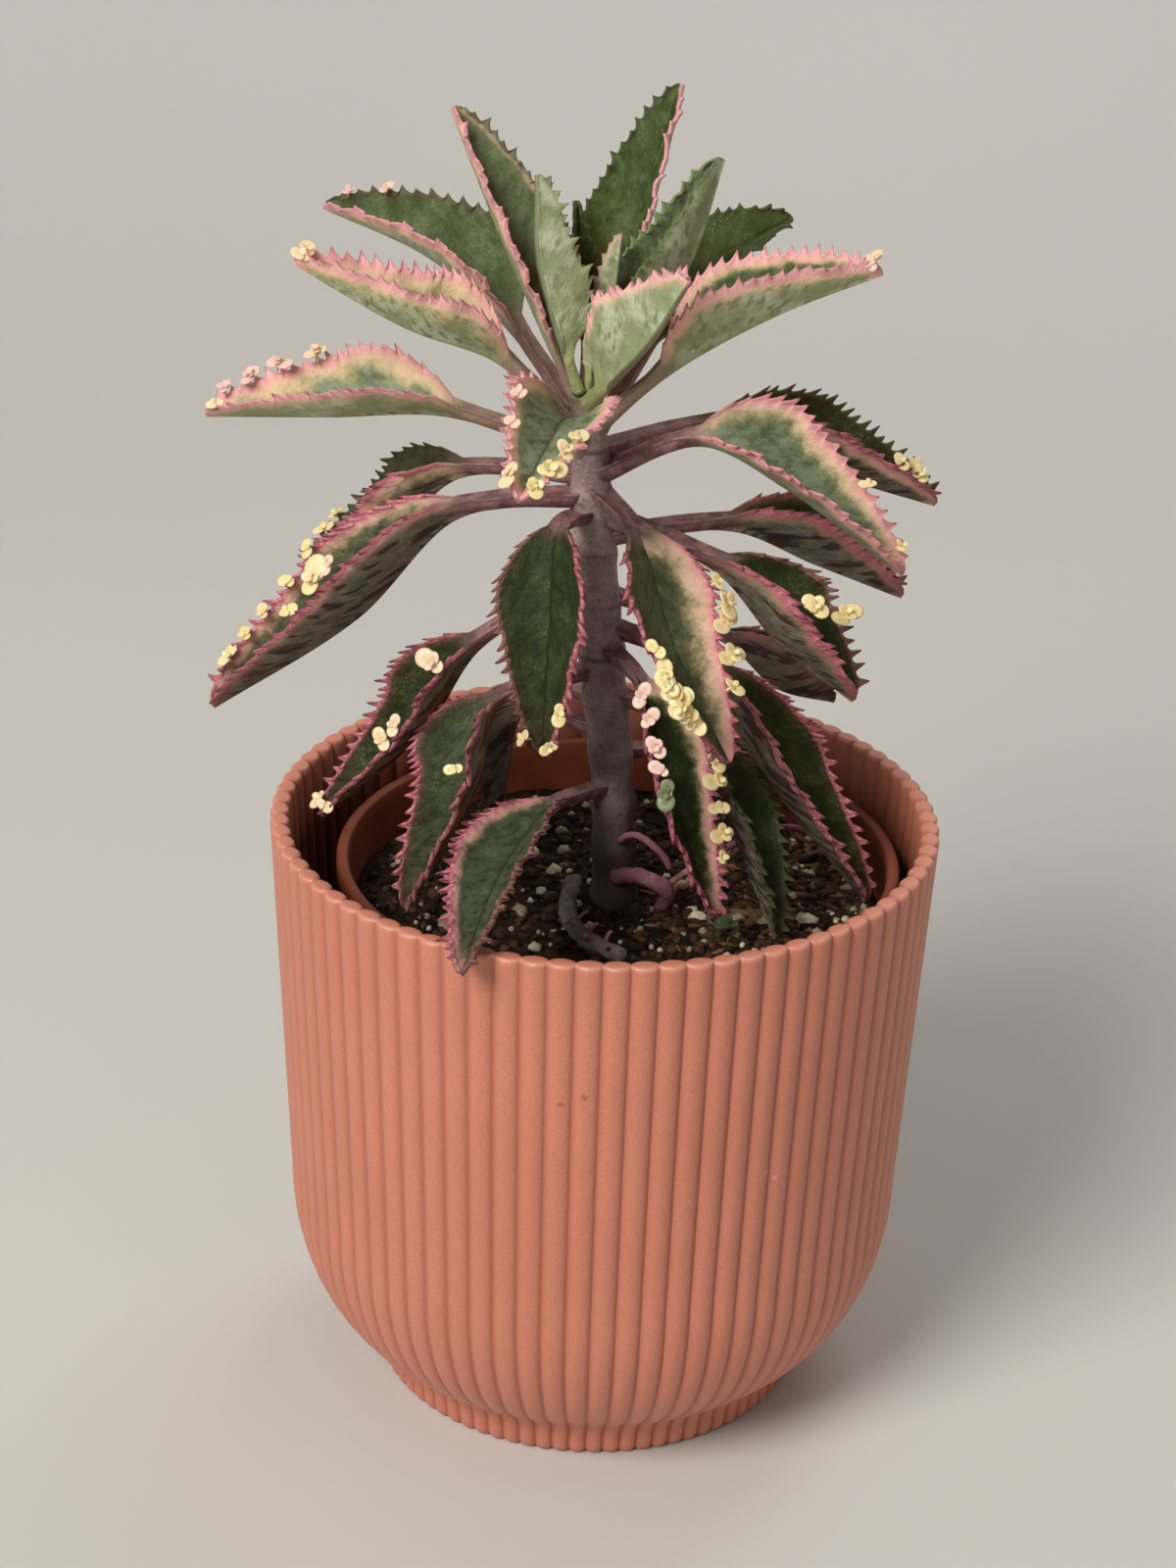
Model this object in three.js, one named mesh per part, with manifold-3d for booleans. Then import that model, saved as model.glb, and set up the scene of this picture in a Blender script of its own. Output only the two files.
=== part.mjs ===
// A kalanchoe with pink-edged leaves, growing in a nursery pot inside a ribbed cover pot.
// Millimetres, +Z up. The origin is the middle of the cover pot's flat underside.
import * as THREE from "three";
import { mergeVertices } from "three/addons/utils/BufferGeometryUtils.js";
import Module from "manifold-3d";

const wasm = await Module();
wasm.setup();

// Cover pot: a straight ribbed wall over a round bowl, on a low scalloped foot.
const POT_HEIGHT = 129;
const POT_RIM_RADIUS = 69.4;
const POT_BELT_RADIUS = 65.3;
const POT_BELT_HEIGHT = 46.5;
const POT_NECK_RADIUS = 42.8;
const POT_NECK_HEIGHT = 6.5;
const POT_FOOT_RADIUS = 44.9;
const POT_FOOT_HEIGHT = 1.5;
const POT_FLARE_RADIUS = 43.4;
const POT_FLARE_HEIGHT = 3.6;
const POT_WALL = 4;
const POT_FLOOR = 5;
const POT_RIBS = 80;
const GROOVE_DEPTH = 0.015;
const GROOVE_TURN = 0.66;
const BOWL_REACH = 30.3;
const BOWL_DROP = 41.1;
const BOWL_POWER = 2 / 2.1;
const BOWL_ANGLES = [62, 32];

// Nursery pot and the soil in it. GAP is the clearance between neighbouring pieces.
const GAP = 0.3;
const NURSERY_X = 3;
const NURSERY_HEIGHT = 119.5;
const NURSERY_RIM_RADIUS = 57.8;
const NURSERY_LIP = 4;
const NURSERY_FOOT_RADIUS = 36;
const NURSERY_WALL = 1.6;
const NURSERY_SIDES = 32;
const DRAIN_HOLES = 5;
const DRAIN_RADIUS = 4;
const DRAIN_SIDES = 10;
const SOIL_HEIGHT = 109;
const SOIL_BUMP = 0.9;

// Stem: its centre line and radius, from its foot down in the soil to below the growing tip.
const STEM = [
  { at: [2.6, 0, 92], radius: 4 },
  { at: [2.4, 0, 109], radius: 4.7 },
  { at: [1.3, 0, 135], radius: 4.5 },
  { at: [-1, 0, 157], radius: 4.7 },
  { at: [-3.5, 0, 179], radius: 4.8 },
  { at: [-5.1, 0, 200], radius: 4.2 },
  { at: [-6.2, 0, 213], radius: 3.7 },
  { at: [-7.6, 0, 221], radius: 2.6 },
];
const STEM_SIDES = 12;
const STEM_RINGS = 16;
const STEM_JOINT_PITCH = 11;
const STEM_JOINT_SWELL = 0.05;

// Leaves: thicknesses, the outline of the blade, and the saw teeth of its margins.
const MARGIN_THICKNESS = 0.9;
const MIDRIB_RISE = 0.3;
const MIDRIB_DEPTH = 1.7;
const TIP_DEPTH = 0.8;
const TOOTH_PITCH = 5;
const TOOTH_HEIGHT = 1.5;
const TOOTH_LEAN = 0.62;
const EAR_AT = 0.035;
const EAR_WIDTH = 0.22;
const TEETH_FROM = 0.09;
const TEETH_TO = 0.97;
const WIDEST_AT = 0.34;
const TIP_TAPER = 0.64;
const PETIOLE_RINGS = 3;
const PETIOLE_FLARE = 0.35;
const PETIOLE_CORNERS = [[1, 0.5], [0, 0.25], [-1, 0.5], [-0.8, -0.6], [0, -1], [0.8, -0.6]];
const BUD_RADIUS = 1.6;
const LOBE_SPLAY = 0.5;
const FINEST_EDGE = 0.1;

// Each leaf's path is its foot on the stem's centre line, the heel of its blade, its middle and its
// tip. width is one half of the blade, petiole the stalk's half width, ear the blade's width at its
// heel and widest where it is full. left and right say how far each half is folded up, in degrees,
// looking out from the stem, and twist turns the blade towards its tip. buds are the plantlets on the
// two margins: how far along each one sits, with its size after it where it isn't BUD_RADIUS.
const LEAVES = [
  { name: "leaf_crown_back", path: [[-6, 0, 212], [-2, 14, 232], [3, 21, 252], [10, 28, 275]],
    width: 10.5, petiole: 1.6, left: 28, right: 50, widest: 0.42 },
  { name: "leaf_crown_left", path: [[-7, 0, 215], [-13, 1, 229], [-24, 4, 252], [-34, 8, 274]],
    width: 11.5, petiole: 1.5, left: 26, right: 75, widest: 0.42 },
  { name: "leaf_crown_left_inner", path: [[-8, -2, 221], [-11, -5, 231], [-16, -6, 248], [-17, -6, 265]],
    width: 8, ear: 0.35, petiole: 1.2, left: 80, right: 76 },
  { name: "leaf_crown_right", path: [[-7, 0, 216], [2, 4, 229], [12, 6, 246], [18, 7, 266]],
    width: 12, petiole: 1.5, left: 80, right: 58 },
  { name: "leaf_crown_front", path: [[-7, 0, 217], [-2, -10, 226], [5, -19, 237], [12, -28, 252]],
    width: 13.5, ear: 0.6, petiole: 1.6, left: 70, right: 78 },
  { name: "leaf_crown_right_back", path: [[-6, 0, 208.5], [6, 13, 227], [18, 20, 241], [33, 28, 249]],
    width: 11.5, petiole: 1.7, left: 62, right: 18 },
  { name: "leaf_crown_right_long", path: [[-6, 0, 212], [9, -6, 228], [29, -9, 241], [49, -11, 250]],
    width: 13, petiole: 1.9, left: 62, right: 48, buds: { left: [[0.97, 2]], right: [[0.96, 1.5]] } },
  { name: "leaf_crown_left_back", path: [[-6, 0, 212], [-22, 12, 230], [-38, 17, 242], [-60, 21, 250]],
    width: 13.5, petiole: 1.9, left: 36, right: 66, buds: { right: [[0.78, 1.2], [0.92, 1.2]] } },
  { name: "leaf_crown_left_long", path: [[-6, 0, 211], [-23, -7, 229], [-41, -10, 236], [-63, -11, 248]],
    width: 12.5, petiole: 1.9, left: 48, right: 62, buds: { left: [[0.92, 1.6]], right: [[0.95, 2]] } },
  { name: "leaf_crown_centre", path: [[-7, 1, 219], [-7, 7, 228], [-8, 10, 240], [-10, 13, 255]],
    width: 4.5, ear: 0.35, petiole: 1.1, left: 55, right: 55 },
  { name: "leaf_crown_right_inner", path: [[-6, 1, 222], [-3, 0, 231], [-2, -1, 242], [-1, -2, 253]],
    width: 4, ear: 0.5, petiole: 1.1, left: 65, right: 65 },
  { name: "leaf_middle_front", path: [[-6, 0, 206], [-10, -9, 217], [-13, -28, 219], [-18, -48, 215]],
    width: 12.5, ear: 0.6, petiole: 2, left: 30, right: 48,
    buds: { left: [0.38, [0.5, 2.2], [0.62, 2.6], 0.74, 0.93], right: [0.45, 0.65, 0.9] } },
  { name: "leaf_middle_left", path: [[-6, 1, 207], [-33, -1, 216], [-57, 1, 214], [-82, 3, 212]],
    width: 12.5, petiole: 2, left: 36, right: 60,
    buds: { left: [[0.95, 1.8]], right: [[0.55, 2.2], [0.7, 2.2], [0.82, 2], 0.92] } },
  { name: "leaf_middle_left_back", path: [[-5, 0, 203], [-31, 9, 200], [-45, 14, 186], [-63, 19, 174]],
    width: 12, petiole: 2, left: 22, right: 60, buds: { right: [0.78, 0.86] } },
  { name: "leaf_middle_left_front", path: [[-5, 0, 199], [-31, -9, 198], [-51, -14, 177], [-79, -18, 158]],
    width: 15, petiole: 2.2, left: 42, right: 66, twist: -14, widest: 0.45,
    buds: { left: [0.4, [0.5, 3], 0.64], right: [0.45, 0.6, 0.72, 0.8, 0.88] } },
  { name: "leaf_middle_right", path: [[-5, 0, 203], [16, -7, 214], [34, -10, 206], [57, -12, 189]],
    width: 13.5, petiole: 2.2, left: 66, right: 20, twist: -14, buds: { left: [0.72, 0.94] } },
  { name: "leaf_middle_right_back", path: [[-6, 0, 208], [20, 13, 210], [43, 20, 199], [66, 26, 190]],
    width: 13, petiole: 2, left: 68, right: 42, widest: 0.4,
    buds: { left: [0.86], right: [0.74, [0.85, 2.4]] } },
  { name: "leaf_middle_right_low", path: [[-4, 0, 190], [23, 5, 192], [41, 7, 184], [59, 9, 176]],
    width: 11.5, petiole: 2.1, left: 60, right: 56, widest: 0.4 },
  { name: "leaf_middle_right_front", path: [[-5, 0, 196], [21, -8, 188], [34, -12, 174], [49, -13, 162]],
    width: 14, petiole: 2.2, left: 60, right: 50, widest: 0.42,
    buds: { left: [[0.68, 2.4]], right: [[0.42, 2.2]] } },
  { name: "leaf_middle_right_dry", path: [[-3, 0, 179], [24, 10, 165], [35, 12, 154], [47, 14, 150]],
    width: 9.5, petiole: 1.8, left: 60, right: 66, widest: 0.42 },
  { name: "leaf_hanging_front", path: [[-5, 0, 195], [-11, -13, 196], [-12, -19, 178], [-13, -18, 150]],
    width: 11, petiole: 2, left: 32, right: 26, widest: 0.4, buds: { left: [0.78, 0.95], right: [0.94] } },
  { name: "leaf_hanging_front_right", path: [[-5, 0, 201], [5, -14, 195], [12, -24, 178], [24, -28, 154]],
    width: 11, ear: 0.4, petiole: 2.1, left: 24, right: 18,
    buds: { left: [0.3, [0.42, 2.6], [0.52, 2.4], [0.66, 2.6], 0.76],
      right: [0.46, [0.56, 2.6], [0.66, 2.8], [0.76, 2.2]] } },
  { name: "leaf_hanging_right_inner", path: [[-2, 0, 167], [6, -13, 164], [13, -21, 143], [23, -24, 117]],
    width: 9.5, petiole: 1.9, left: 42, right: 36,
    buds: { left: [0.3, [0.4, 2.2], [0.5, 2.2], 0.6, [0.7, 2.4], 0.78],
      right: [0.1, 0.18, 0.27, 0.35, 0.44] } },
  { name: "leaf_hanging_right_olive", path: [[-1, 0, 157], [16, -7, 151], [27, -13, 132], [36, -22, 112]],
    width: 9, petiole: 1.8, left: 40, right: 50, widest: 0.5 },
  { name: "leaf_hanging_right", path: [[-3, 0, 172], [21, -2, 162], [33, -4, 141], [55, -7, 114]],
    width: 12.5, petiole: 2, left: 70, right: 34, widest: 0.5 },
  { name: "leaf_hanging_left", path: [[-4, 0, 182], [-27, -4, 168], [-38, -7, 150], [-58, -9, 130]],
    width: 11.5, petiole: 2, left: 34, right: 66,
    buds: { left: [[0.16, 2.4], 0.52, 0.6, 0.95], right: [0.96] } },
  { name: "leaf_hanging_left_front", path: [[-1, 0, 162], [-23, -9, 157], [-27, -17, 142], [-40, -20, 115]],
    width: 13.5, petiole: 2, left: 38, right: 62, buds: { left: [0.42] } },
  { name: "leaf_hanging_left_inner", path: [[1, 0, 147], [-18, 3, 150], [-21, 1, 138], [-22, 0, 124]],
    width: 6.5, petiole: 1.8, left: 70, right: 60 },
  { name: "leaf_low_front", path: [[1, 0, 135], [-10, -16, 138], [-20, -43, 135], [-26, -73, 129]],
    width: 10.5, petiole: 1.8, left: 50, right: 24, widest: 0.45 },
  { name: "leaf_low_back_left", path: [[-1, 0, 153], [-9, 13, 151], [-13, 22, 141], [-15, 31, 128]],
    width: 8, petiole: 1.7, left: 40, right: 40 },
  { name: "leaf_low_back_right", path: [[1, 0, 143], [17, 10, 139], [30, 15, 130], [41, 19, 121]],
    width: 8.5, petiole: 1.7, left: 40, right: 40 },
];

// Small stalks: an old one that bends from the stem down into the soil, a fallen one lying on the
// soil, and the stalk of a seedling.
const STALKS = {
  old_stalk: { path: [[2, -4, 116], [7, -6.5, 117.5], [13, -6, 114.5], [12, -2, 106]], radius: 1.7 },
  fallen_stalk: { path: [[-6, 7, 109.4], [-7, -9, 110.2], [-3, -22, 110.4], [5, -28, 109.2]], radius: 1.9 },
  seedling: { path: [[24, -16, 106], [24, -16, 108.5], [24.3, -16.5, 110.5], [24.5, -17, 112]], radius: 0.9 },
};
const STALK_SIDES = 6;
const STALK_RINGS = 8;
const SEEDLING_LOBES = 5;
const SEEDLING_REACH = 2.4;

const UP = new THREE.Vector3(0, 0, 1);
const radians = THREE.MathUtils.degToRad;
const lerp = THREE.MathUtils.lerp;

// A closed surface over a row of rings of equal length. Each quad of the ring's second half is split
// the other way round, so that the two faces of a thin blade are split alike.
function loft(rings) {
  const count = rings[0].length;
  const points = rings.flat();
  const faces = [];
  for (let i = 0; i + 1 < rings.length; i++) {
    for (let j = 0; j < count; j++) {
      const a = i * count + j;
      const b = i * count + ((j + 1) % count);
      const c = a + count;
      const d = b + count;
      if (j < count / 2) faces.push(a, b, d, a, d, c);
      else faces.push(a, b, c, b, d, c);
    }
  }
  const last = (rings.length - 1) * count;
  for (const [start, turned] of [[0, true], [last, false]]) {
    const middle = points.length;
    const ring = points.slice(start, start + count);
    const sum = ring.reduce((total, point) => total.add(point), new THREE.Vector3());
    points.push(sum.divideScalar(count));
    for (let j = 0; j < count; j++) {
      const next = start + ((j + 1) % count);
      if (turned) faces.push(middle, next, start + j);
      else faces.push(middle, start + j, next);
    }
  }
  const geometry = new THREE.BufferGeometry().setFromPoints(points);
  geometry.setIndex(faces);
  return toSolid(geometry);
}

// A manifold solid of a closed geometry.
function toSolid(geometry) {
  const bare = geometry.index ? geometry.toNonIndexed() : geometry.clone();
  bare.deleteAttribute("normal");
  bare.deleteAttribute("uv");
  const merged = mergeVertices(bare, 1e-3);
  return new wasm.Manifold(
    new wasm.Mesh({
      numProp: 3,
      vertProperties: merged.attributes.position.array,
      triVerts: new Uint32Array(merged.index.array),
    }),
  );
}

function toGeometry(body) {
  const shape = body.getMesh();
  const geometry = new THREE.BufferGeometry();
  geometry.setAttribute("position", new THREE.BufferAttribute(shape.vertProperties, 3));
  geometry.setIndex(new THREE.BufferAttribute(shape.triVerts, 1));
  return geometry;
}

// A named mesh of a manifold solid.
function toMesh(name, body, material) {
  const geometry = toGeometry(body);
  geometry.computeVertexNormals();
  const mesh = new THREE.Mesh(geometry, material);
  mesh.name = name;
  return mesh;
}

// A body without its loose scraps and with its sealed hollows filled.
function onePiece(body) {
  const pieces = toSolid(toGeometry(body.simplify(FINEST_EDGE))).decompose();
  return pieces.sort((a, b) => b.volume() - a.volume())[0];
}

// A solid of stacked level rings: profile is a list of [radius, height].
function turned(profile, angles, pinch = () => 1) {
  const ring = ([radius, height]) =>
    angles.map((angle, index) => {
      const r = radius * pinch(index);
      return new THREE.Vector3(r * Math.cos(angle), r * Math.sin(angle), height);
    });
  return loft(profile.map(ring));
}

function evenAngles(count) {
  return Array.from({ length: count }, (_, index) => (index * 2 * Math.PI) / count);
}

// A point of the bowl below the belt, inset from the outside by a wall.
function bowlPoint(degrees, inset) {
  const angle = radians(degrees);
  const reach = (BOWL_REACH - inset) * Math.cos(angle) ** BOWL_POWER;
  const drop = (BOWL_DROP - inset) * Math.sin(angle) ** BOWL_POWER;
  return [POT_BELT_RADIUS - BOWL_REACH + reach, POT_BELT_HEIGHT - drop];
}

function coverPot() {
  const pitch = (2 * Math.PI) / POT_RIBS;
  const angles = [];
  for (let rib = 0; rib < POT_RIBS; rib++) {
    for (const share of [0, 0.5]) angles.push(radians(GROOVE_TURN) + (rib + share) * pitch);
  }
  const outside = turned(
    [
      [POT_FOOT_RADIUS, 0],
      [POT_FOOT_RADIUS, POT_FOOT_HEIGHT],
      [POT_FLARE_RADIUS, POT_FLARE_HEIGHT],
      [POT_NECK_RADIUS, POT_NECK_HEIGHT],
      ...BOWL_ANGLES.map((degrees) => bowlPoint(degrees, 0)),
      [POT_BELT_RADIUS, POT_BELT_HEIGHT],
      [POT_RIM_RADIUS, POT_HEIGHT],
    ],
    angles,
    (index) => (index % 2 ? 1 : 1 - GROOVE_DEPTH),
  );
  const [floorRadius] = bowlPoint(80, POT_WALL);
  const inside = turned(
    [
      [floorRadius, POT_FLOOR],
      ...BOWL_ANGLES.map((degrees) => bowlPoint(degrees, POT_WALL)),
      [POT_BELT_RADIUS - POT_WALL, POT_BELT_HEIGHT],
      [POT_RIM_RADIUS - POT_WALL, POT_HEIGHT],
      [POT_RIM_RADIUS - POT_WALL, POT_HEIGHT + 1],
    ],
    evenAngles(POT_RIBS),
  );
  return outside.subtract(inside);
}

// The nursery pot's outline at a distance inside its outer face, from its floor up to the height top.
function nurseryOutline(inset, floor, top) {
  const low = NURSERY_FOOT_RADIUS - inset;
  const high = NURSERY_RIM_RADIUS - inset;
  return [
    [low, floor],
    [low + 4, floor + 4],
    [high, top],
  ];
}

function nurseryPot() {
  const angles = evenAngles(NURSERY_SIDES);
  const floor = POT_FLOOR + GAP;
  const lip = [
    [NURSERY_RIM_RADIUS + 0.9, NURSERY_HEIGHT - NURSERY_LIP],
    [NURSERY_RIM_RADIUS + 0.9, NURSERY_HEIGHT],
  ];
  let pot = turned([...nurseryOutline(0, floor, NURSERY_HEIGHT - NURSERY_LIP), ...lip], angles);
  const hollow = nurseryOutline(NURSERY_WALL, floor + NURSERY_WALL, NURSERY_HEIGHT - NURSERY_LIP);
  pot = pot.subtract(turned([...hollow, [NURSERY_RIM_RADIUS - NURSERY_WALL, NURSERY_HEIGHT + 1]], angles));
  for (let hole = 0; hole < DRAIN_HOLES; hole++) {
    const turn = (hole * 2 * Math.PI) / DRAIN_HOLES;
    const reach = NURSERY_FOOT_RADIUS * 0.6;
    const depth = [[DRAIN_RADIUS, floor - 1], [DRAIN_RADIUS, floor + NURSERY_WALL + 1]];
    const drain = turned(depth, evenAngles(DRAIN_SIDES));
    pot = pot.subtract(drain.translate([reach * Math.cos(turn), reach * Math.sin(turn), 0]));
  }
  return pot.translate([NURSERY_X, 0, 0]);
}

// The soil fills the nursery pot, with a lumpy top and a hole for each thing that stands in it.
function soil(holes) {
  const inset = NURSERY_WALL + GAP;
  const floor = POT_FLOOR + GAP + inset;
  const [foot, chamfer] = nurseryOutline(inset, floor, 0);
  const slope = (NURSERY_RIM_RADIUS - inset - chamfer[0]) / (NURSERY_HEIGHT - NURSERY_LIP - chamfer[1]);
  const edge = chamfer[0] + slope * (SOIL_HEIGHT - chamfer[1]);
  const angles = evenAngles(NURSERY_SIDES);
  const level = (radius, height) =>
    angles.map((angle) => {
      const x = radius * Math.cos(angle);
      const y = radius * Math.sin(angle);
      const lump = height < SOIL_HEIGHT ? 0 : SOIL_BUMP * Math.sin(x * 0.31 + 1) * Math.cos(y * 0.27);
      return new THREE.Vector3(x, y, height + lump);
    });
  const rings = [level(foot[0], foot[1]), level(chamfer[0], chamfer[1]), level(edge, SOIL_HEIGHT)];
  for (const share of [0.8, 0.55, 0.3]) rings.push(level(edge * share, SOIL_HEIGHT));
  const filling = loft(rings).translate([NURSERY_X, 0, 0]);
  return onePiece(holes.reduce((rest, hole) => rest.subtract(hole), filling));
}

// A round stalk, or with extra the hole it stands in.
function stalk({ path, radius }, extra) {
  const line = new THREE.CatmullRomCurve3(path.map((point) => new THREE.Vector3(...point)));
  const frames = line.computeFrenetFrames(STALK_RINGS);
  const rings = frames.normals.map((normal, index) => {
    const centre = line.getPointAt(index / STALK_RINGS);
    return evenAngles(STALK_SIDES).map((angle) => {
      const point = centre.clone().addScaledVector(normal, (radius + extra) * Math.cos(angle));
      return point.addScaledVector(frames.binormals[index], (radius + extra) * Math.sin(angle));
    });
  });
  return loft(rings);
}

// A few flat round leaves on a short stalk.
function seedling() {
  const top = STALKS.seedling.path.at(-1);
  let plant = stalk(STALKS.seedling, 0);
  for (let lobe = 0; lobe < SEEDLING_LOBES; lobe++) {
    const leaf = new THREE.OctahedronGeometry(SEEDLING_REACH).scale(1, 0.75, 0.4);
    leaf.translate(0.6 * SEEDLING_REACH, 0, 0).rotateY(-0.35);
    leaf.rotateZ((lobe * 2 * Math.PI) / SEEDLING_LOBES);
    plant = plant.add(toSolid(leaf.translate(...top)));
  }
  return onePiece(plant);
}

// The stem, or with extra its hole, swelling a little at each joint where leaves grew.
function stem(extra) {
  const line = new THREE.CatmullRomCurve3(STEM.map((ring) => new THREE.Vector3(...ring.at)));
  const rings = [];
  for (let i = 0; i <= STEM_RINGS; i++) {
    const share = i / STEM_RINGS;
    const index = Math.min(Math.floor(share * (STEM.length - 1)), STEM.length - 2);
    const part = share * (STEM.length - 1) - index;
    const centre = line.getPoint(share);
    const joint = Math.cos((centre.z * 2 * Math.PI) / STEM_JOINT_PITCH);
    const swell = extra ? STEM_JOINT_SWELL : STEM_JOINT_SWELL * joint;
    const radius = lerp(STEM[index].radius, STEM[index + 1].radius, part) * (1 + swell) + extra;
    const end = i === STEM_RINGS ? extra : 0;
    rings.push(
      evenAngles(STEM_SIDES).map(
        (angle) =>
          new THREE.Vector3(
            centre.x + radius * Math.cos(angle),
            centre.y + radius * Math.sin(angle),
            centre.z + end,
          ),
      ),
    );
  }
  return loft(rings);
}

// The blade's half width at a share of its length.
function halfWidth(leaf, along) {
  const { ear = EAR_WIDTH, widest = WIDEST_AT } = leaf;
  if (along < widest) {
    return leaf.width * (ear + (1 - ear) * Math.sin((Math.PI / 2) * (along / widest)));
  }
  const past = (along - widest) / (1 - widest);
  return leaf.width * (1 - TIP_TAPER * past) * Math.sqrt(1.02 - past ** 6);
}

// The places along a blade where it has a ring: [share of its length, tooth height there].
function bladeStations(length) {
  const teeth = Math.round((length * (TEETH_TO - TEETH_FROM)) / TOOTH_PITCH);
  const pitch = (TEETH_TO - TEETH_FROM) / teeth;
  const stations = [[EAR_AT, 0]];
  for (let tooth = 0; tooth < teeth; tooth++) {
    const share = TEETH_FROM + tooth * pitch;
    const height = TOOTH_HEIGHT * (1 - 0.4 * (tooth / teeth));
    stations.push([share, 0], [share + TOOTH_LEAN * pitch, height]);
  }
  stations.push([TEETH_TO, 0], [1, 0]);
  return stations;
}

// The frame at a point of a leaf's line: its place, and the ways to its left side and its upper face.
function leafFrame(leaf, line, t) {
  const [foot, , , tip] = leaf.path;
  const outward = new THREE.Vector3(tip[0] - foot[0], tip[1] - foot[1], 0).normalize();
  const along = line.getTangent(t);
  const side = new THREE.Vector3().crossVectors(UP, outward);
  side.addScaledVector(along, -side.dot(along)).normalize();
  const face = new THREE.Vector3().crossVectors(along, side);
  return { centre: line.getPoint(t), along, side, face };
}

// The way from the midrib to a margin, and the upper face's direction there.
function halfBlade(leaf, frame, way, along) {
  const fold = way > 0 ? leaf.left : leaf.right;
  const angle = radians(fold + way * (leaf.twist ?? 0) * along);
  const out = frame.side.clone().multiplyScalar(way * Math.cos(angle));
  out.addScaledVector(frame.face, Math.sin(angle));
  const up = frame.side.clone().multiplyScalar(-way * Math.sin(angle));
  up.addScaledVector(frame.face, Math.cos(angle));
  return { out, up };
}

function petioleRing(leaf, frame, share) {
  const flare = 1 + PETIOLE_FLARE * (1 - share) ** 3;
  const half = leaf.petiole * flare;
  return PETIOLE_CORNERS.map(([side, face]) => {
    const point = frame.centre.clone().addScaledVector(frame.side, side * half);
    return point.addScaledVector(frame.face, face * half);
  });
}

function bladeRing(leaf, frame, along, tooth) {
  const half = halfWidth(leaf, along);
  const thick = MARGIN_THICKNESS / 2;
  const margin = (way, offset) => {
    const { out, up } = halfBlade(leaf, frame, way, along);
    return frame.centre.clone().addScaledVector(out, half + tooth).addScaledVector(up, offset * thick);
  };
  const depth = lerp(MIDRIB_DEPTH, TIP_DEPTH, along);
  const rib = (offset) => frame.centre.clone().addScaledVector(frame.face, offset);
  return [margin(1, 1), rib(MIDRIB_RISE), margin(-1, 1), margin(-1, -1), rib(-depth), margin(1, -1)];
}

// The plantlets on a leaf's margins, each a hull over a pair of flat lobes sunk into the edge.
function budSolids(leaf, line) {
  const solids = [];
  for (const [side, way] of [["left", 1], ["right", -1]]) {
    for (const bud of leaf.buds?.[side] ?? []) {
      const [along, radius] = Array.isArray(bud) ? bud : [bud, BUD_RADIUS];
      const frame = leafFrame(leaf, line, (1 + 2 * along) / 3);
      const { out, up } = halfBlade(leaf, frame, way, along);
      const margin = frame.centre.clone().addScaledVector(out, halfWidth(leaf, along));
      const forward = new THREE.Vector3().crossVectors(out, up);
      const lobes = [-1, 1].map((step) => {
        const lobe = new THREE.OctahedronGeometry(radius).scale(1, 1, 0.6).rotateZ(step * LOBE_SPLAY);
        lobe.applyMatrix4(new THREE.Matrix4().makeBasis(out, forward, up));
        const centre = margin.clone().addScaledVector(out, 0.35 * radius);
        centre.addScaledVector(forward, 0.6 * step * radius);
        return toSolid(lobe.translate(...centre));
      });
      solids.push(wasm.Manifold.hull(lobes));
    }
  }
  return solids;
}

// One leaf: a channelled stalk and a folded blade with toothed margins.
function leafSolid(leaf) {
  const line = new THREE.CatmullRomCurve3(
    leaf.path.map((point) => new THREE.Vector3(...point)),
    false,
    "centripetal",
  );
  const rings = [];
  for (let i = 0; i <= PETIOLE_RINGS; i++) {
    const share = i / PETIOLE_RINGS;
    rings.push(petioleRing(leaf, leafFrame(leaf, line, share / 3), share));
  }
  const [, heel, middle, tip] = leaf.path.map((point) => new THREE.Vector3(...point));
  const length = heel.distanceTo(middle) + middle.distanceTo(tip);
  for (const [along, tooth] of bladeStations(length)) {
    rings.push(bladeRing(leaf, leafFrame(leaf, line, (1 + 2 * along) / 3), along, tooth));
  }
  return budSolids(leaf, line).reduce((whole, bud) => whole.add(bud), loft(rings));
}

const paint = (color, roughness) => new THREE.MeshStandardMaterial({ color, roughness, metalness: 0 });
const POT_PAINT = paint(0xcf8a72, 0.55);
const NURSERY_PAINT = paint(0x9a5238, 0.6);
const SOIL_PAINT = paint(0x3a2a22, 0.95);
const STEM_PAINT = paint(0x6f5a5c, 0.75);
const LEAF_PAINT = paint(0x56694a, 0.55);
const DRY_PAINT = paint(0x9a7c78, 0.8);

const part = new THREE.Group();
const stemHole = stem(GAP);
const stalkHoles = Object.values(STALKS).map((shape) => stalk(shape, GAP));
part.add(toMesh("cover_pot", coverPot(), POT_PAINT));
part.add(toMesh("nursery_pot", nurseryPot(), NURSERY_PAINT));
part.add(toMesh("soil", soil([stemHole, ...stalkHoles]), SOIL_PAINT));
part.add(toMesh("stem", stem(0), STEM_PAINT));
part.add(toMesh("old_stalk", onePiece(stalk(STALKS.old_stalk, 0).subtract(stemHole)), DRY_PAINT));
part.add(toMesh("fallen_stalk", stalk(STALKS.fallen_stalk, 0), DRY_PAINT));
part.add(toMesh("seedling", seedling(), LEAF_PAINT));
for (const leaf of LEAVES) {
  part.add(toMesh(leaf.name, onePiece(leafSolid(leaf).subtract(stemHole)), LEAF_PAINT));
}

export default part;
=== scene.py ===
import math
import random
from itertools import combinations

import bpy
import numpy as np
from mathutils import Matrix, Vector, noise


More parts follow.
